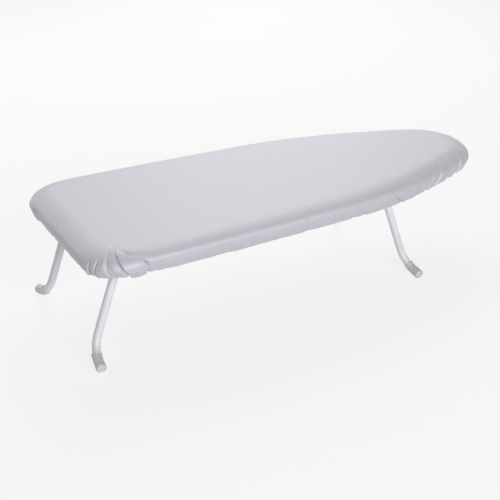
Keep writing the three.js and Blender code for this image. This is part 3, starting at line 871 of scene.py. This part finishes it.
def placed_copy(source, name, matrix):
    """A copy with its own mesh, put in its place in the mesh itself."""
    copy = source.copy()
    copy.data = source.data.copy()
    copy.name = name
    copy.data.name = name
    bpy.context.scene.collection.objects.link(copy)
    copy.data.transform(matrix)
    if matrix.is_negative:
        copy.data.flip_normals()
    return copy


def discard(piece):
    """Remove a pattern piece once its copies are made."""
    bpy.data.objects.remove(piece, do_unlink=True)


tube = bend_tube()
legs = {}
for end, place in leg_places.items():
    legs[end] = placed_copy(tube, f"tube_leg_{end}", place)
    legs[end].data.shade_smooth()
    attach(legs[end], f"{end}_leg")
    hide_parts(f"leg_{end}")
    low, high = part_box(f"leg_{end}")
    heights = [vertex.co.z for vertex in legs[end].data.vertices]
    made = max(heights) - min(heights)
    print(end, "leg height, measured and made:", round(high.z - low.z, 4), round(made, 4))
discard(tube)


# %% The legs' material
def powder_coat():
    """White polyester powder baked on steel: satin, with the faint orange peel of the melted grains."""
    material, tree, shader = new_material("powder_coat", {
        "Base Color": linear("eeeef5"),
        "Roughness": 0.36,
        "IOR": 1.5,
    })
    place = add_node(tree, "ShaderNodeTexCoord")
    # real orange peel is about 1 mm across; it is drawn at 2 mm
    peel = add_node(tree, "ShaderNodeTexNoise", {"Scale": 1 / (2 * MM), "Detail": 1.0},
                    {"Vector": place.outputs["Object"]})
    bump = add_node(tree, "ShaderNodeBump", {"Strength": 0.06, "Distance": 0.2 * MM},
                    {"Height": peel.outputs["Fac"]})
    tree.links.new(bump.outputs["Normal"], shader.inputs["Normal"])
    return material


coat = powder_coat()
for leg in legs.values():
    leg.data.materials.append(coat)

# %% [markdown]
# ## The feet
# A soft plastic cap is pushed over each tube end. It starts with a small bead round its mouth, widens a
# little towards its end and closes with a rounded edge and a shallow ring on its end face. The cap follows
# the bend of the tube, so its ring is spun along the same bend and scaled where the cap widens. What would
# lie below the table is cut off, which leaves the small flat tread that the cap stands on.

# %% Mould the cap
CAP_LENGTH = 26 * MM
CAP_BORE = 6.1 * MM
CAP_NECK = 7.1 * MM
CAP_SIDES = 36
CAP_STEPS = 6
CAP_ROUND_STEPS = 5
BEAD_RADIUS = 7.75 * MM
BEAD_LENGTH = 2 * MM
BEAD_EDGE = 0.5 * MM
# The bead: shares of its length, each with the radius at its end
BEAD_STEPS = ((0.25, BEAD_RADIUS), (0.5, BEAD_RADIUS), (0.25, CAP_NECK))
# The ring on the end face: shares of the cap's radius, each with its step outwards
END_RING = ((0.8, 0), (0.74, -0.5 * MM), (0.5, 0), (0.44, 0.5 * MM), (0.2, 0))


def scale_ring(factor, centre):
    """Scale what is selected about a point."""
    bpy.ops.transform.resize(value=(factor, factor, factor), center_override=tuple(centre))


def ring_radius(piece, centre):
    """How far the selected ring lies from its centre."""
    sheet = bmesh.from_edit_mesh(piece.data)
    distances = [(v.co - centre).length for v in sheet.verts if v.select]
    return sum(distances) / len(distances)


def on_bend(turned):
    """The middle of the tube after so much of the foot's bend."""
    return foot_centre + Matrix.Rotation(turned, 4, "X") @ Vector((0, -FOOT_BEND, 0))


def mould_cap():
    """One cap on the leg in its own plane, on the side of +Y."""
    bead = BEAD_LENGTH / FOOT_BEND
    turned = FOOT_TURN - (CAP_LENGTH - FOOT_END) / FOOT_BEND
    here = on_bend(turned)
    cap = start_ring("foot_cap", CAP_BORE, CAP_SIDES, here, turned)
    push((0, 0, 0))
    scale_ring((BEAD_RADIUS - BEAD_EDGE) / CAP_BORE, here)
    for share, radius in BEAD_STEPS:
        swing(share * bead, foot_centre, 1)
        turned += share * bead
        here = on_bend(turned)
        scale_ring(radius / ring_radius(cap, here), here)
    swing(FOOT_TURN - turned, foot_centre, CAP_STEPS)
    push(foot_way * FOOT_END)
    here = on_bend(FOOT_TURN) + foot_way * FOOT_END
    scale_ring(CAP_RADIUS / CAP_NECK, here)
    push(foot_way * (CAP_END - CAP_ROUND))
    here = here + foot_way * (CAP_END - CAP_ROUND)
    radius = CAP_RADIUS
    for i in range(1, CAP_ROUND_STEPS + 1):
        angle = QUARTER * i / CAP_ROUND_STEPS
        step = CAP_ROUND * (math.sin(angle) - math.sin(QUARTER * (i - 1) / CAP_ROUND_STEPS))
        push(foot_way * step)
        here = here + foot_way * step
        smaller = CAP_RADIUS - CAP_ROUND * (1 - math.cos(angle))
        scale_ring(smaller / radius, here)
        radius = smaller
    for share, depth in END_RING:
        push(foot_way * depth)
        here = here + foot_way * depth
        scale_ring(share * CAP_RADIUS / radius, here)
        radius = share * CAP_RADIUS
    bpy.ops.mesh.edge_face_add()
    close_mesh()
    return cap


cap = mould_cap()
TABLE = 0.0
feet = []
for end, place in leg_places.items():
    for side, way in (("front", -1), ("rear", 1)):
        local_way = way if end == "wide" else -way
        foot = placed_copy(cap, f"cap_{end}_{side}", place @ Matrix.Diagonal((1, local_way, 1, 1)))
        bpy.ops.object.select_all(action="DESELECT")
        foot.select_set(True)
        bpy.context.view_layer.objects.active = foot
        bpy.ops.object.mode_set(mode="EDIT")
        bpy.ops.mesh.select_all(action="SELECT")
        bpy.ops.mesh.bisect(plane_co=(0, 0, TABLE), plane_no=(0, 0, 1), use_fill=True, clear_inner=True)
        close_mesh()
        bpy.ops.object.shade_smooth_by_angle(angle=math.radians(38))
        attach(foot, f"{end}_leg")
        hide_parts(f"foot_{end}_{side}")
        feet.append(foot)
discard(cap)
print("feet:", [foot.name for foot in feet])


# %% The feet's material
def soft_vinyl():
    """Off-white soft vinyl from a mould: satin, slightly see-through at thin edges, faintly uneven."""
    material, tree, shader = new_material("soft_vinyl", {
        "Roughness": 0.5,
        "IOR": 1.53,
        "Subsurface Weight": 0.1,
        "Subsurface Radius": (1.0, 0.9, 0.8),
        "Subsurface Scale": 1.5 * MM,
    })
    place = add_node(tree, "ShaderNodeTexCoord")
    cloud = add_node(tree, "ShaderNodeTexNoise", {"Scale": 1 / (9 * MM), "Detail": 2.0},
                     {"Vector": place.outputs["Object"]})
    tone = add_node(tree, "ShaderNodeValToRGB", {}, {"Fac": cloud.outputs["Fac"]})
    tone.color_ramp.elements[0].color = linear("d8d6d8")
    tone.color_ramp.elements[1].color = linear("e2e0e2")
    tree.links.new(tone.outputs["Color"], shader.inputs["Base Color"])
    # spark-eroded moulds leave grains of about 0.1 mm; they are drawn at 0.8 mm
    grain = add_node(tree, "ShaderNodeTexNoise", {"Scale": 1 / (0.8 * MM), "Detail": 1.0},
                     {"Vector": place.outputs["Object"]})
    bump = add_node(tree, "ShaderNodeBump", {"Strength": 0.08, "Distance": 0.1 * MM},
                    {"Height": grain.outputs["Fac"]})
    tree.links.new(bump.outputs["Normal"], shader.inputs["Normal"])
    return material


vinyl = soft_vinyl()
for foot in feet:
    foot.data.materials.append(vinyl)

# %% [markdown]
# ## The steel frame
# Under the pad lies a sheet of expanded steel, which lets the steam through, on a roll-formed steel channel.
# The channel is a strip of sheet that is folded first and then bent round the corners, and it is made here
# in that order: the flat strip of the wide end, its folds, and then its end edges swung round each arc of the
# outline. The other half is a mirror image.

# %% Roll the rim
SHEET = 1.2 * MM
RIM_BEND = 5 * MM
RIM_FLANGE = 13 * MM
RIM_LIP = 9 * MM
FOLD_STEPS = 6
ARC_STEPS = (14, 24, 28, 24)


def start_strip(name, length, width, centre):
    """A flat strip in edit mode, with its length along X and its width along Y."""
    bpy.ops.object.select_all(action="DESELECT")
    bpy.ops.mesh.primitive_plane_add(size=1)
    strip = bpy.context.object
    strip.name = name
    strip.data.name = name
    strip.scale = (length, width, 1)
    strip.location = centre
    bpy.ops.object.transform_apply(location=True, rotation=True, scale=True)
    bpy.ops.object.mode_set(mode="EDIT")
    return strip


def select_edges(piece, test):
    """Select the edges whose two ends both pass the test."""
    bpy.ops.mesh.select_mode(type="EDGE")
    bpy.ops.mesh.select_all(action="DESELECT")
    sheet = bmesh.from_edit_mesh(piece.data)
    for edge in sheet.edges:
        if all(test(vertex.co) for vertex in edge.verts):
            edge.select = True
    sheet.select_flush_mode()
    bmesh.update_edit_mesh(piece.data)


def bend_round_outline(piece):
    """Swing the strip's end edges round every arc of the outline, then mirror the other half."""
    select_edges(piece, lambda co: abs(co.y - wide_run) < WELD)
    for (centre_x, centre_y, _, _, turn), steps in zip(ARCS, ARC_STEPS):
        swing(-turn, (centre_x, centre_y, 0), steps, axis=(0, 0, 1))
    mirror_half(piece)


def roll_rim():
    """The channel: a top flange that carries the mesh, a rounded wall and a turned-in lip."""
    top = rim_high.z - SHEET / 2
    low = rim_low.z + SHEET / 2
    bend = RIM_BEND - SHEET / 2
    edge_x = -LENGTH / 2 + RIM_INSET + RIM_BEND
    flange = RIM_FLANGE - RIM_BEND
    rim = start_strip("rolled_rim", flange, wide_run, (edge_x + flange / 2, wide_run / 2, top))
    select_edges(rim, lambda co: abs(co.x - edge_x) < WELD)
    swing(-QUARTER, (edge_x, 0, top - bend), FOLD_STEPS, axis=(0, 1, 0))
    push((0, 0, low - top + 2 * bend))
    swing(-QUARTER, (edge_x, 0, low + bend), FOLD_STEPS, axis=(0, 1, 0))
    push((RIM_LIP - RIM_BEND, 0, 0))
    bend_round_outline(rim)
    apply_modifier(rim, "SOLIDIFY", {"thickness": SHEET, "offset": 0})
    return rim


rim = roll_rim()
bpy.ops.object.shade_smooth_by_angle(angle=math.radians(35))
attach(rim, "board")
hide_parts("rim")
print("rim made:", [round(x, 4) for x in rim.dimensions])
print("rim measured:", [round(x, 4) for x in rim_high - rim_low])


# %% The frame's material
def galvanised_steel():
    """Hot-dip galvanised sheet: a grey metal with large faint zinc crystals of slightly different gloss."""
    material, tree, shader = new_material("galvanised_steel", {"Metallic": 1.0})
    place = add_node(tree, "ShaderNodeTexCoord")
    crystals = add_node(tree, "ShaderNodeTexVoronoi", {"Scale": 1 / (9 * MM), "Randomness": 1.0},
                        {"Vector": place.outputs["Object"]})
    grey = add_node(tree, "ShaderNodeRGBToBW", {}, {"Color": crystals.outputs["Color"]})
    tone = add_node(tree, "ShaderNodeValToRGB", {}, {"Fac": grey.outputs["Val"]})
    tone.color_ramp.elements[0].color = linear("9fa3a6")
    tone.color_ramp.elements[1].color = linear("bfc3c5")
    tree.links.new(tone.outputs["Color"], shader.inputs["Base Color"])
    gloss = add_node(tree, "ShaderNodeMapRange", {"To Min": 0.34, "To Max": 0.52},
                     {"Value": grey.outputs["Val"]})
    tree.links.new(gloss.outputs["Result"], shader.inputs["Roughness"])
    scuff = add_node(tree, "ShaderNodeTexNoise", {"Scale": 1 / (2.5 * MM), "Detail": 3.0},
                     {"Vector": place.outputs["Object"]})
    bump = add_node(tree, "ShaderNodeBump", {"Strength": 0.05, "Distance": 0.1 * MM},
                    {"Height": scuff.outputs["Fac"]})
    tree.links.new(bump.outputs["Normal"], shader.inputs["Normal"])
    return material


galvanised = galvanised_steel()
rim.data.materials.append(galvanised)

# %% [markdown]
# ## The expanded mesh
# Expanded steel is slit and pulled open, so every gap is a diamond between four strands of the same sheet.
# A grid of squares, turned by an eighth and stretched, is that lattice: each face is inset to leave the
# strands, the faces in the gaps are deleted, and what lies beyond the rim is cut away by straight cuts.

# %% Slit and stretch the mesh
DIAMOND_LONG = 26 * MM
DIAMOND_SHORT = 11 * MM
STRAND = 1.7 * MM
MESH_SHEET = 1.2 * MM
MESH_CUTS = (1, 10, 3, 6, 8)
CUT_WELD = 0.001 * MM
mesh_low, mesh_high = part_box("mesh_top")


def stretch_mesh():
    """The lattice of diamonds inside the rim."""
    cell = DIAMOND_SHORT / math.sqrt(2)
    side = LENGTH * DIAMOND_SHORT / DIAMOND_LONG + WIDTH
    cells = 2 * math.ceil(side / cell / 2)
    bpy.ops.object.select_all(action="DESELECT")
    bpy.ops.mesh.primitive_grid_add(x_subdivisions=cells, y_subdivisions=cells, size=cells * cell,
                                    rotation=(0, 0, math.pi / 4))
    lattice = bpy.context.object
    lattice.name = "expanded_mesh"
    lattice.data.name = "expanded_mesh"
    bpy.ops.object.transform_apply(location=True, rotation=True, scale=True)
    lattice.scale = (DIAMOND_LONG / DIAMOND_SHORT, 1, 1)
    lattice.location = (0, 0, (mesh_low.z + mesh_high.z) / 2)
    bpy.ops.object.transform_apply(location=True, rotation=True, scale=True)
    bpy.ops.object.mode_set(mode="EDIT")
    border = [outline_place(a) for a in round_stations(MESH_CUTS)]
    inset = LENGTH / 2 - mesh_high.x
    corners = [Vector((x - nx * inset, y - ny * inset, 0)) for x, y, nx, ny in border]
    for a, b in zip(corners, corners[1:] + corners[:1]):
        along = b - a
        bpy.ops.mesh.select_all(action="SELECT")
        outward = Vector((along.y, -along.x, 0)).normalized()
        bpy.ops.mesh.bisect(plane_co=a, plane_no=outward, clear_outer=True, threshold=CUT_WELD)
    bpy.ops.mesh.select_all(action="SELECT")
    bpy.ops.mesh.inset(use_individual=True, use_boundary=True, thickness=STRAND / 2)
    bpy.ops.mesh.delete(type="FACE")
    close_mesh()
    apply_modifier(lattice, "SOLIDIFY", {"thickness": MESH_SHEET, "offset": 0})
    return lattice


lattice = stretch_mesh()
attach(lattice, "board")
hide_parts("mesh_top")
lattice.data.materials.append(galvanised)
print("mesh faces:", len(lattice.data.polygons), "size:", [round(x, 4) for x in lattice.dimensions])

# %% [markdown]
# ## Rails, saddles and rivets
# Two pressed rails cross the frame. A strap shaped like an omega holds each leg's cross bar against its rail,
# with a rivet through each of its feet. The rails' measured shape is right, so a merged copy only gets
# softened edges. The strap is a strip that is folded and swung round the tube. The rivet is a ring that is
# pushed along and scaled.

# %% Soften the rails
RAIL_BEVEL = 0.25 * MM
RAIL_WELD = 0.005 * MM


def softened_copy(node, name, width):
    """A copy of a measured part with its loose triangles merged and its sharp edges rounded."""
    bpy.ops.object.select_all(action="DESELECT")
    copy = placed_copy(bpy.data.objects[node], name, Matrix.Identity(4))
    copy.parent = None
    copy.matrix_world = Matrix.Identity(4)
    copy.select_set(True)
    bpy.context.view_layer.objects.active = copy
    bpy.ops.object.mode_set(mode="EDIT")
    bpy.ops.mesh.select_all(action="SELECT")
    bpy.ops.mesh.remove_doubles(threshold=RAIL_WELD)
    bpy.ops.mesh.dissolve_limited(angle_limit=math.radians(1))
    bpy.ops.object.mode_set(mode="OBJECT")
    soften_edges(copy, width, 30)
    bpy.ops.object.shade_smooth_by_angle(angle=math.radians(30))
    copy.data.materials.clear()
    return copy


for end in ("wide", "nose"):
    rail = softened_copy(f"rail_{end}", f"pressed_rail_{end}", RAIL_BEVEL)
    rail.data.materials.append(galvanised)
    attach(rail, "board")
    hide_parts(f"rail_{end}")
    print(rail.name, "faces:", len(rail.data.polygons))

# %% Fold the saddles
SADDLE_SHEET = 1.5 * MM
SADDLE_WIDTH = 16 * MM
SADDLE_BORE = 6.3 * MM
SADDLE_FOOT = 13 * MM
SADDLE_STEPS = 20
SADDLE_BEVEL = 0.4 * MM
saddle_low, saddle_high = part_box("saddle_wide_front")


def fold_saddle():
    """One strap round the tube's axis, which runs along Y through the origin."""
    middle = SADDLE_BORE + SADDLE_SHEET / 2
    foot = SADDLE_FOOT + SADDLE_SHEET / 2
    foot_height = saddle_high.z - pivots["wide"].z - SADDLE_SHEET / 2
    saddle = start_strip("saddle_strap", foot, SADDLE_WIDTH, (-middle - foot / 2, 0, foot_height))
    select_edges(saddle, lambda co: abs(co.x + middle) < WELD)
    push((0, 0, -foot_height))
    swing(-math.pi, (0, 0, 0), SADDLE_STEPS, axis=(0, 1, 0))
    push((0, 0, foot_height))
    push((foot, 0, 0))
    close_mesh()
    apply_modifier(saddle, "SOLIDIFY", {"thickness": SADDLE_SHEET, "offset": 0})
    soften_edges(saddle, SADDLE_BEVEL, 30)
    return saddle


saddle = fold_saddle()
saddle_y = (saddle_low.y + saddle_high.y) / 2
for end in ("wide", "nose"):
    for side, y in (("front", saddle_y), ("rear", -saddle_y)):
        place = Matrix.Translation((pivots[end].x, y, pivots[end].z))
        strap = placed_copy(saddle, f"strap_{end}_{side}", place)
        strap.data.shade_smooth()
        strap.data.materials.append(galvanised)
        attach(strap, "board")
        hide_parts(f"saddle_{end}_{side}")
discard(saddle)
print("saddle height, measured:", round(saddle_high.z - saddle_low.z, 4))

# %% Push out the rivets
RIVET_HEAD = 4 * MM
RIVET_HEAD_HEIGHT = 2.2 * MM
RIVET_SHANK = 2 * MM
RIVET_SIDES = 24
DOME_STEPS = 6


def shape_rivet():
    """A domed head below and a shank up to a low set end, with the head's seat at the origin."""
    rivet_low, rivet_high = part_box("rivet_wide_front_a")
    shank = rivet_high.z - rivet_low.z - RIVET_HEAD_HEIGHT
    rivet = start_ring("domed_rivet", RIVET_SHANK, RIVET_SIDES, (0, 0, shank), 0)
    bpy.ops.mesh.edge_face_add()
    select_edges(rivet, lambda co: True)
    push((0, 0, -shank))
    scale_ring(RIVET_HEAD / RIVET_SHANK, (0, 0, 0))
    radius = RIVET_HEAD
    height = 0.0
    for i in range(1, DOME_STEPS):
        angle = QUARTER * i / DOME_STEPS
        smaller = RIVET_HEAD * math.cos(angle)
        step = RIVET_HEAD_HEIGHT * math.sin(angle) + height
        push((0, 0, -step))
        height -= step
        scale_ring(smaller / radius, (0, 0, height))
        radius = smaller
    push((0, 0, -RIVET_HEAD_HEIGHT - height))
    bpy.ops.mesh.merge(type="CENTER")
    close_mesh()
    return rivet


def rivet_steel():
    """Zinc-plated rivet steel: a bright metal, slightly scuffed by the riveting tool."""
    material, tree, shader = new_material("zinc_plated_rivet_steel", {
        "Metallic": 1.0,
        "Base Color": linear("bcbec0"),
    })
    place = add_node(tree, "ShaderNodeTexCoord")
    scuff = add_node(tree, "ShaderNodeTexNoise", {"Scale": 1 / (1.2 * MM), "Detail": 2.0},
                     {"Vector": place.outputs["Object"]})
    gloss = add_node(tree, "ShaderNodeMapRange", {"To Min": 0.22, "To Max": 0.42},
                     {"Value": scuff.outputs["Fac"]})
    tree.links.new(gloss.outputs["Result"], shader.inputs["Roughness"])
    return material


rivet = shape_rivet()
plated = rivet_steel()
for end in ("wide", "nose"):
    for side in ("front", "rear"):
        for mark in ("a", "b"):
            node = f"rivet_{end}_{side}_{mark}"
            low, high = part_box(node)
            place = Vector(((low.x + high.x) / 2, (low.y + high.y) / 2, low.z + RIVET_HEAD_HEIGHT))
            head = placed_copy(rivet, f"domed_{node}", Matrix.Translation(place))
            head.data.shade_smooth()
            head.data.materials.append(plated)
            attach(head, "board")
            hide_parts(node)
discard(rivet)

# %% [markdown]
# ## The hem's elastic and its seam
# A flat elastic runs all round on the turned-in flap, stretched while it is sewn down, and draws the skirt in
# when it is let go. It could be a strip like the rim's, but cloth that is gathered carries its elastic up and
# down with it, so the band takes its points from the flap's own rows. The seam that holds it shows from
# below: one short stitch after another, each a small thread prism laid along the flap.

# %% Lay the elastic on the flap
ELASTIC_FROM = 0.2
ELASTIC_TO = 0.85
ELASTIC_LIFT = 0.9 * MM
ELASTIC_THICKNESS = 0.7 * MM


def flap_row(share):
    """Points on the flap at a share of its width, from the hem's fold to its free edge."""
    return cloth_rows[hem_row] * (1 - share) + cloth_rows[-1] * share


def lay_elastic():
    """The elastic band, just above the flap."""
    count = len(hem_stations)
    points = np.concatenate([flap_row(ELASTIC_FROM), flap_row(ELASTIC_TO)]) + (0, 0, ELASTIC_LIFT)
    band = add_piece("woven_elastic", points.tolist(), band_faces(0, count, count))
    apply_modifier(band, "SOLIDIFY", {"thickness": ELASTIC_THICKNESS, "offset": 0})
    band.data.shade_smooth()
    return band


def knitted_elastic():
    """White knitted elastic: dull, with fine uneven loops."""
    material, tree, shader = new_material("knitted_elastic", {
        "Roughness": 0.85,
        "Base Color": linear("e4e2df"),
    })
    place = add_node(tree, "ShaderNodeTexCoord")
    # real loops are about 0.5 mm across; they are drawn at 1 mm
    loops = add_node(tree, "ShaderNodeTexVoronoi", {"Scale": 1 / (1.0 * MM)},
                     {"Vector": place.outputs["Object"]})
    bump = add_node(tree, "ShaderNodeBump", {"Strength": 0.4, "Distance": 0.2 * MM},
                    {"Height": loops.outputs["Distance"]})
    tree.links.new(bump.outputs["Normal"], shader.inputs["Normal"])
    return material


elastic = lay_elastic()
elastic.data.materials.append(knitted_elastic())
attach(elastic, "board")
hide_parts("hem_elastic")
print("elastic:", [round(x, 4) for x in elastic.dimensions])

# %% Sew the hem
STITCH_PITCH = 4 * MM
STITCH_LENGTH = 2.8 * MM
THREAD_WIDTH = 0.7 * MM  # sewing thread is about 0.3 mm; it is drawn thicker so that it shows
STITCH_SAG = 0.6 * THREAD_WIDTH
SEAM_SHARE = 0.9


def sew_hem():
    """A row of lockstitches on the flap's lower face, near its free edge."""
    around = np.append(hem_stations, hem_stations[0] + 2 * HALF_ROUND)
    row = flap_row(SEAM_SHARE)
    row = np.concatenate([row, row[:1]])
    count = int(2 * HALF_ROUND / STITCH_PITCH)
    points, faces = [], []
    for i in range(count):
        middle = hem_stations[0] + (i + 0.5) * 2 * HALF_ROUND / count
        ends = [Vector(np.interp(middle + way * STITCH_LENGTH / 2, around, row[:, k]) for k in range(3))
                for way in (-1, 1)]
        along = (ends[1] - ends[0]).normalized()
        across = along.cross(Vector((0, 0, 1))) * THREAD_WIDTH / 2
        drop = Vector((0, 0, -COTTON_THICKNESS / 2))
        sag = Vector((0, 0, -STITCH_SAG))
        centre = (ends[0] + ends[1]) / 2 + drop
        first = len(points)
        points += [ends[0] + drop, centre + across, centre + sag, centre - across, ends[1] + drop]
        for a, b in ((1, 2), (2, 3), (3, 1)):
            faces += [(first, first + a, first + b), (first + 4, first + b, first + a)]
    return add_piece("hem_stitches", points, faces), count


def polyester_thread():
    """Grey spun polyester thread: a dull twist with a faint gleam."""
    material, tree, shader = new_material("polyester_thread", {"Roughness": 0.6})
    place = add_node(tree, "ShaderNodeTexCoord")
    twist = add_node(tree, "ShaderNodeTexNoise", {"Scale": 1 / (0.8 * MM)},
                     {"Vector": place.outputs["Object"]})
    tone = add_node(tree, "ShaderNodeValToRGB", {}, {"Fac": twist.outputs["Fac"]})
    tone.color_ramp.elements[0].color = linear("a9a8ad")
    tone.color_ramp.elements[1].color = linear("c4c3c8")
    tree.links.new(tone.outputs["Color"], shader.inputs["Base Color"])
    return material


seam, stitch_count = sew_hem()
seam.data.materials.append(polyester_thread())
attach(seam, "board")
print("stitches:", stitch_count)

# %% [markdown]
# ## Light and floor
# A white room: a pale floor, a bright horizon and soft lamps. The strongest lamp stands low in front and
# lights the skirt, and the others stand behind the board and light its top. Between them no lamp stands
# overhead, which is what draws the darker band along the cover's edge.

# %% Stage the floor and the lamps
LAMP_DISTANCE = 2.4
LAMP_AIM = Vector((0, 0, 150 * MM))
# Each lamp: azimuth and elevation in degrees, size in metres and power in watts
LAMPS = {
    "front_lamp": (-8, 18, 1.5, 40),
    "back_left_low_lamp": (-150, 12, 1.2, 8),
    "back_right_low_lamp": (150, 12, 1.2, 4),
    "back_left_lamp": (-150, 44, 1.5, 8),
    "back_right_lamp": (152, 44, 1.5, 29),
}


def area_lamp(name, azimuth, elevation, size, power):
    """A soft square lamp that faces the board from that direction; azimuth 0 is in front."""
    turn, rise = math.radians(azimuth), math.radians(elevation)
    way = Vector((math.sin(turn) * math.cos(rise), -math.cos(turn) * math.cos(rise), math.sin(rise)))
    data = bpy.data.lights.new(name, "AREA")
    data.shape = "SQUARE"
    data.size = size
    data.energy = power
    lamp = bpy.data.objects.new(name, data)
    bpy.context.scene.collection.objects.link(lamp)
    lamp.location = LAMP_AIM + way * LAMP_DISTANCE
    lamp.rotation_euler = way.to_track_quat("Z", "Y").to_euler()


for lamp_name, settings in LAMPS.items():
    area_lamp(lamp_name, *settings)

FLOOR_SIZE = 40
FLOOR_WHITE = 0.8
bpy.ops.mesh.primitive_plane_add(size=FLOOR_SIZE)
floor = bpy.context.object
floor.name = "floor"


def seen_directly(tree):
    """A value of 1 for what the camera sees, also in a reflection or through glass, and 0 for plain light."""
    path = add_node(tree, "ShaderNodeLightPath")
    seen = add_node(tree, "ShaderNodeMath", {"operation": "MAXIMUM"},
                    {0: path.outputs["Is Camera Ray"], 1: path.outputs["Is Glossy Ray"]})
    seen = add_node(tree, "ShaderNodeMath", {"operation": "MAXIMUM"},
                    {0: seen.outputs["Value"], 1: path.outputs["Is Transmission Ray"]})
    return seen.outputs["Value"]


def white_paper():
    """Background paper: matt white, made whiter where it is looked at, so that only a soft shadow is left."""
    material, tree, shader = new_material("white_paper", {"Base Color": linear("f2f2f2"), "Roughness": 0.9})
    share = add_node(tree, "ShaderNodeMath", {"operation": "MULTIPLY", 1: FLOOR_WHITE},
                     {0: seen_directly(tree)})
    glow = add_node(tree, "ShaderNodeEmission", {"Color": (1, 1, 1, 1), "Strength": 1.0})
    blend = add_node(tree, "ShaderNodeMixShader", {},
                     {0: share.outputs["Value"], 1: shader.outputs["BSDF"], 2: glow.outputs["Emission"]})
    tree.links.new(blend.outputs["Shader"], tree.nodes["Material Output"].inputs["Surface"])
    return material


floor.data.materials.append(white_paper())

world = bpy.data.worlds.new("pale_room")
bpy.context.scene.world = world
world.use_nodes = True
ROOM_LIGHT = 0.02
room = world.node_tree
backdrop = room.nodes["Background"]
backdrop.inputs["Color"].default_value = (1, 1, 1, 1)
strength = add_node(room, "ShaderNodeMath", {"operation": "MAXIMUM", 1: ROOM_LIGHT}, {0: seen_directly(room)})
room.links.new(strength.outputs["Value"], backdrop.inputs["Strength"])
bpy.context.scene.view_settings.view_transform = "Standard"
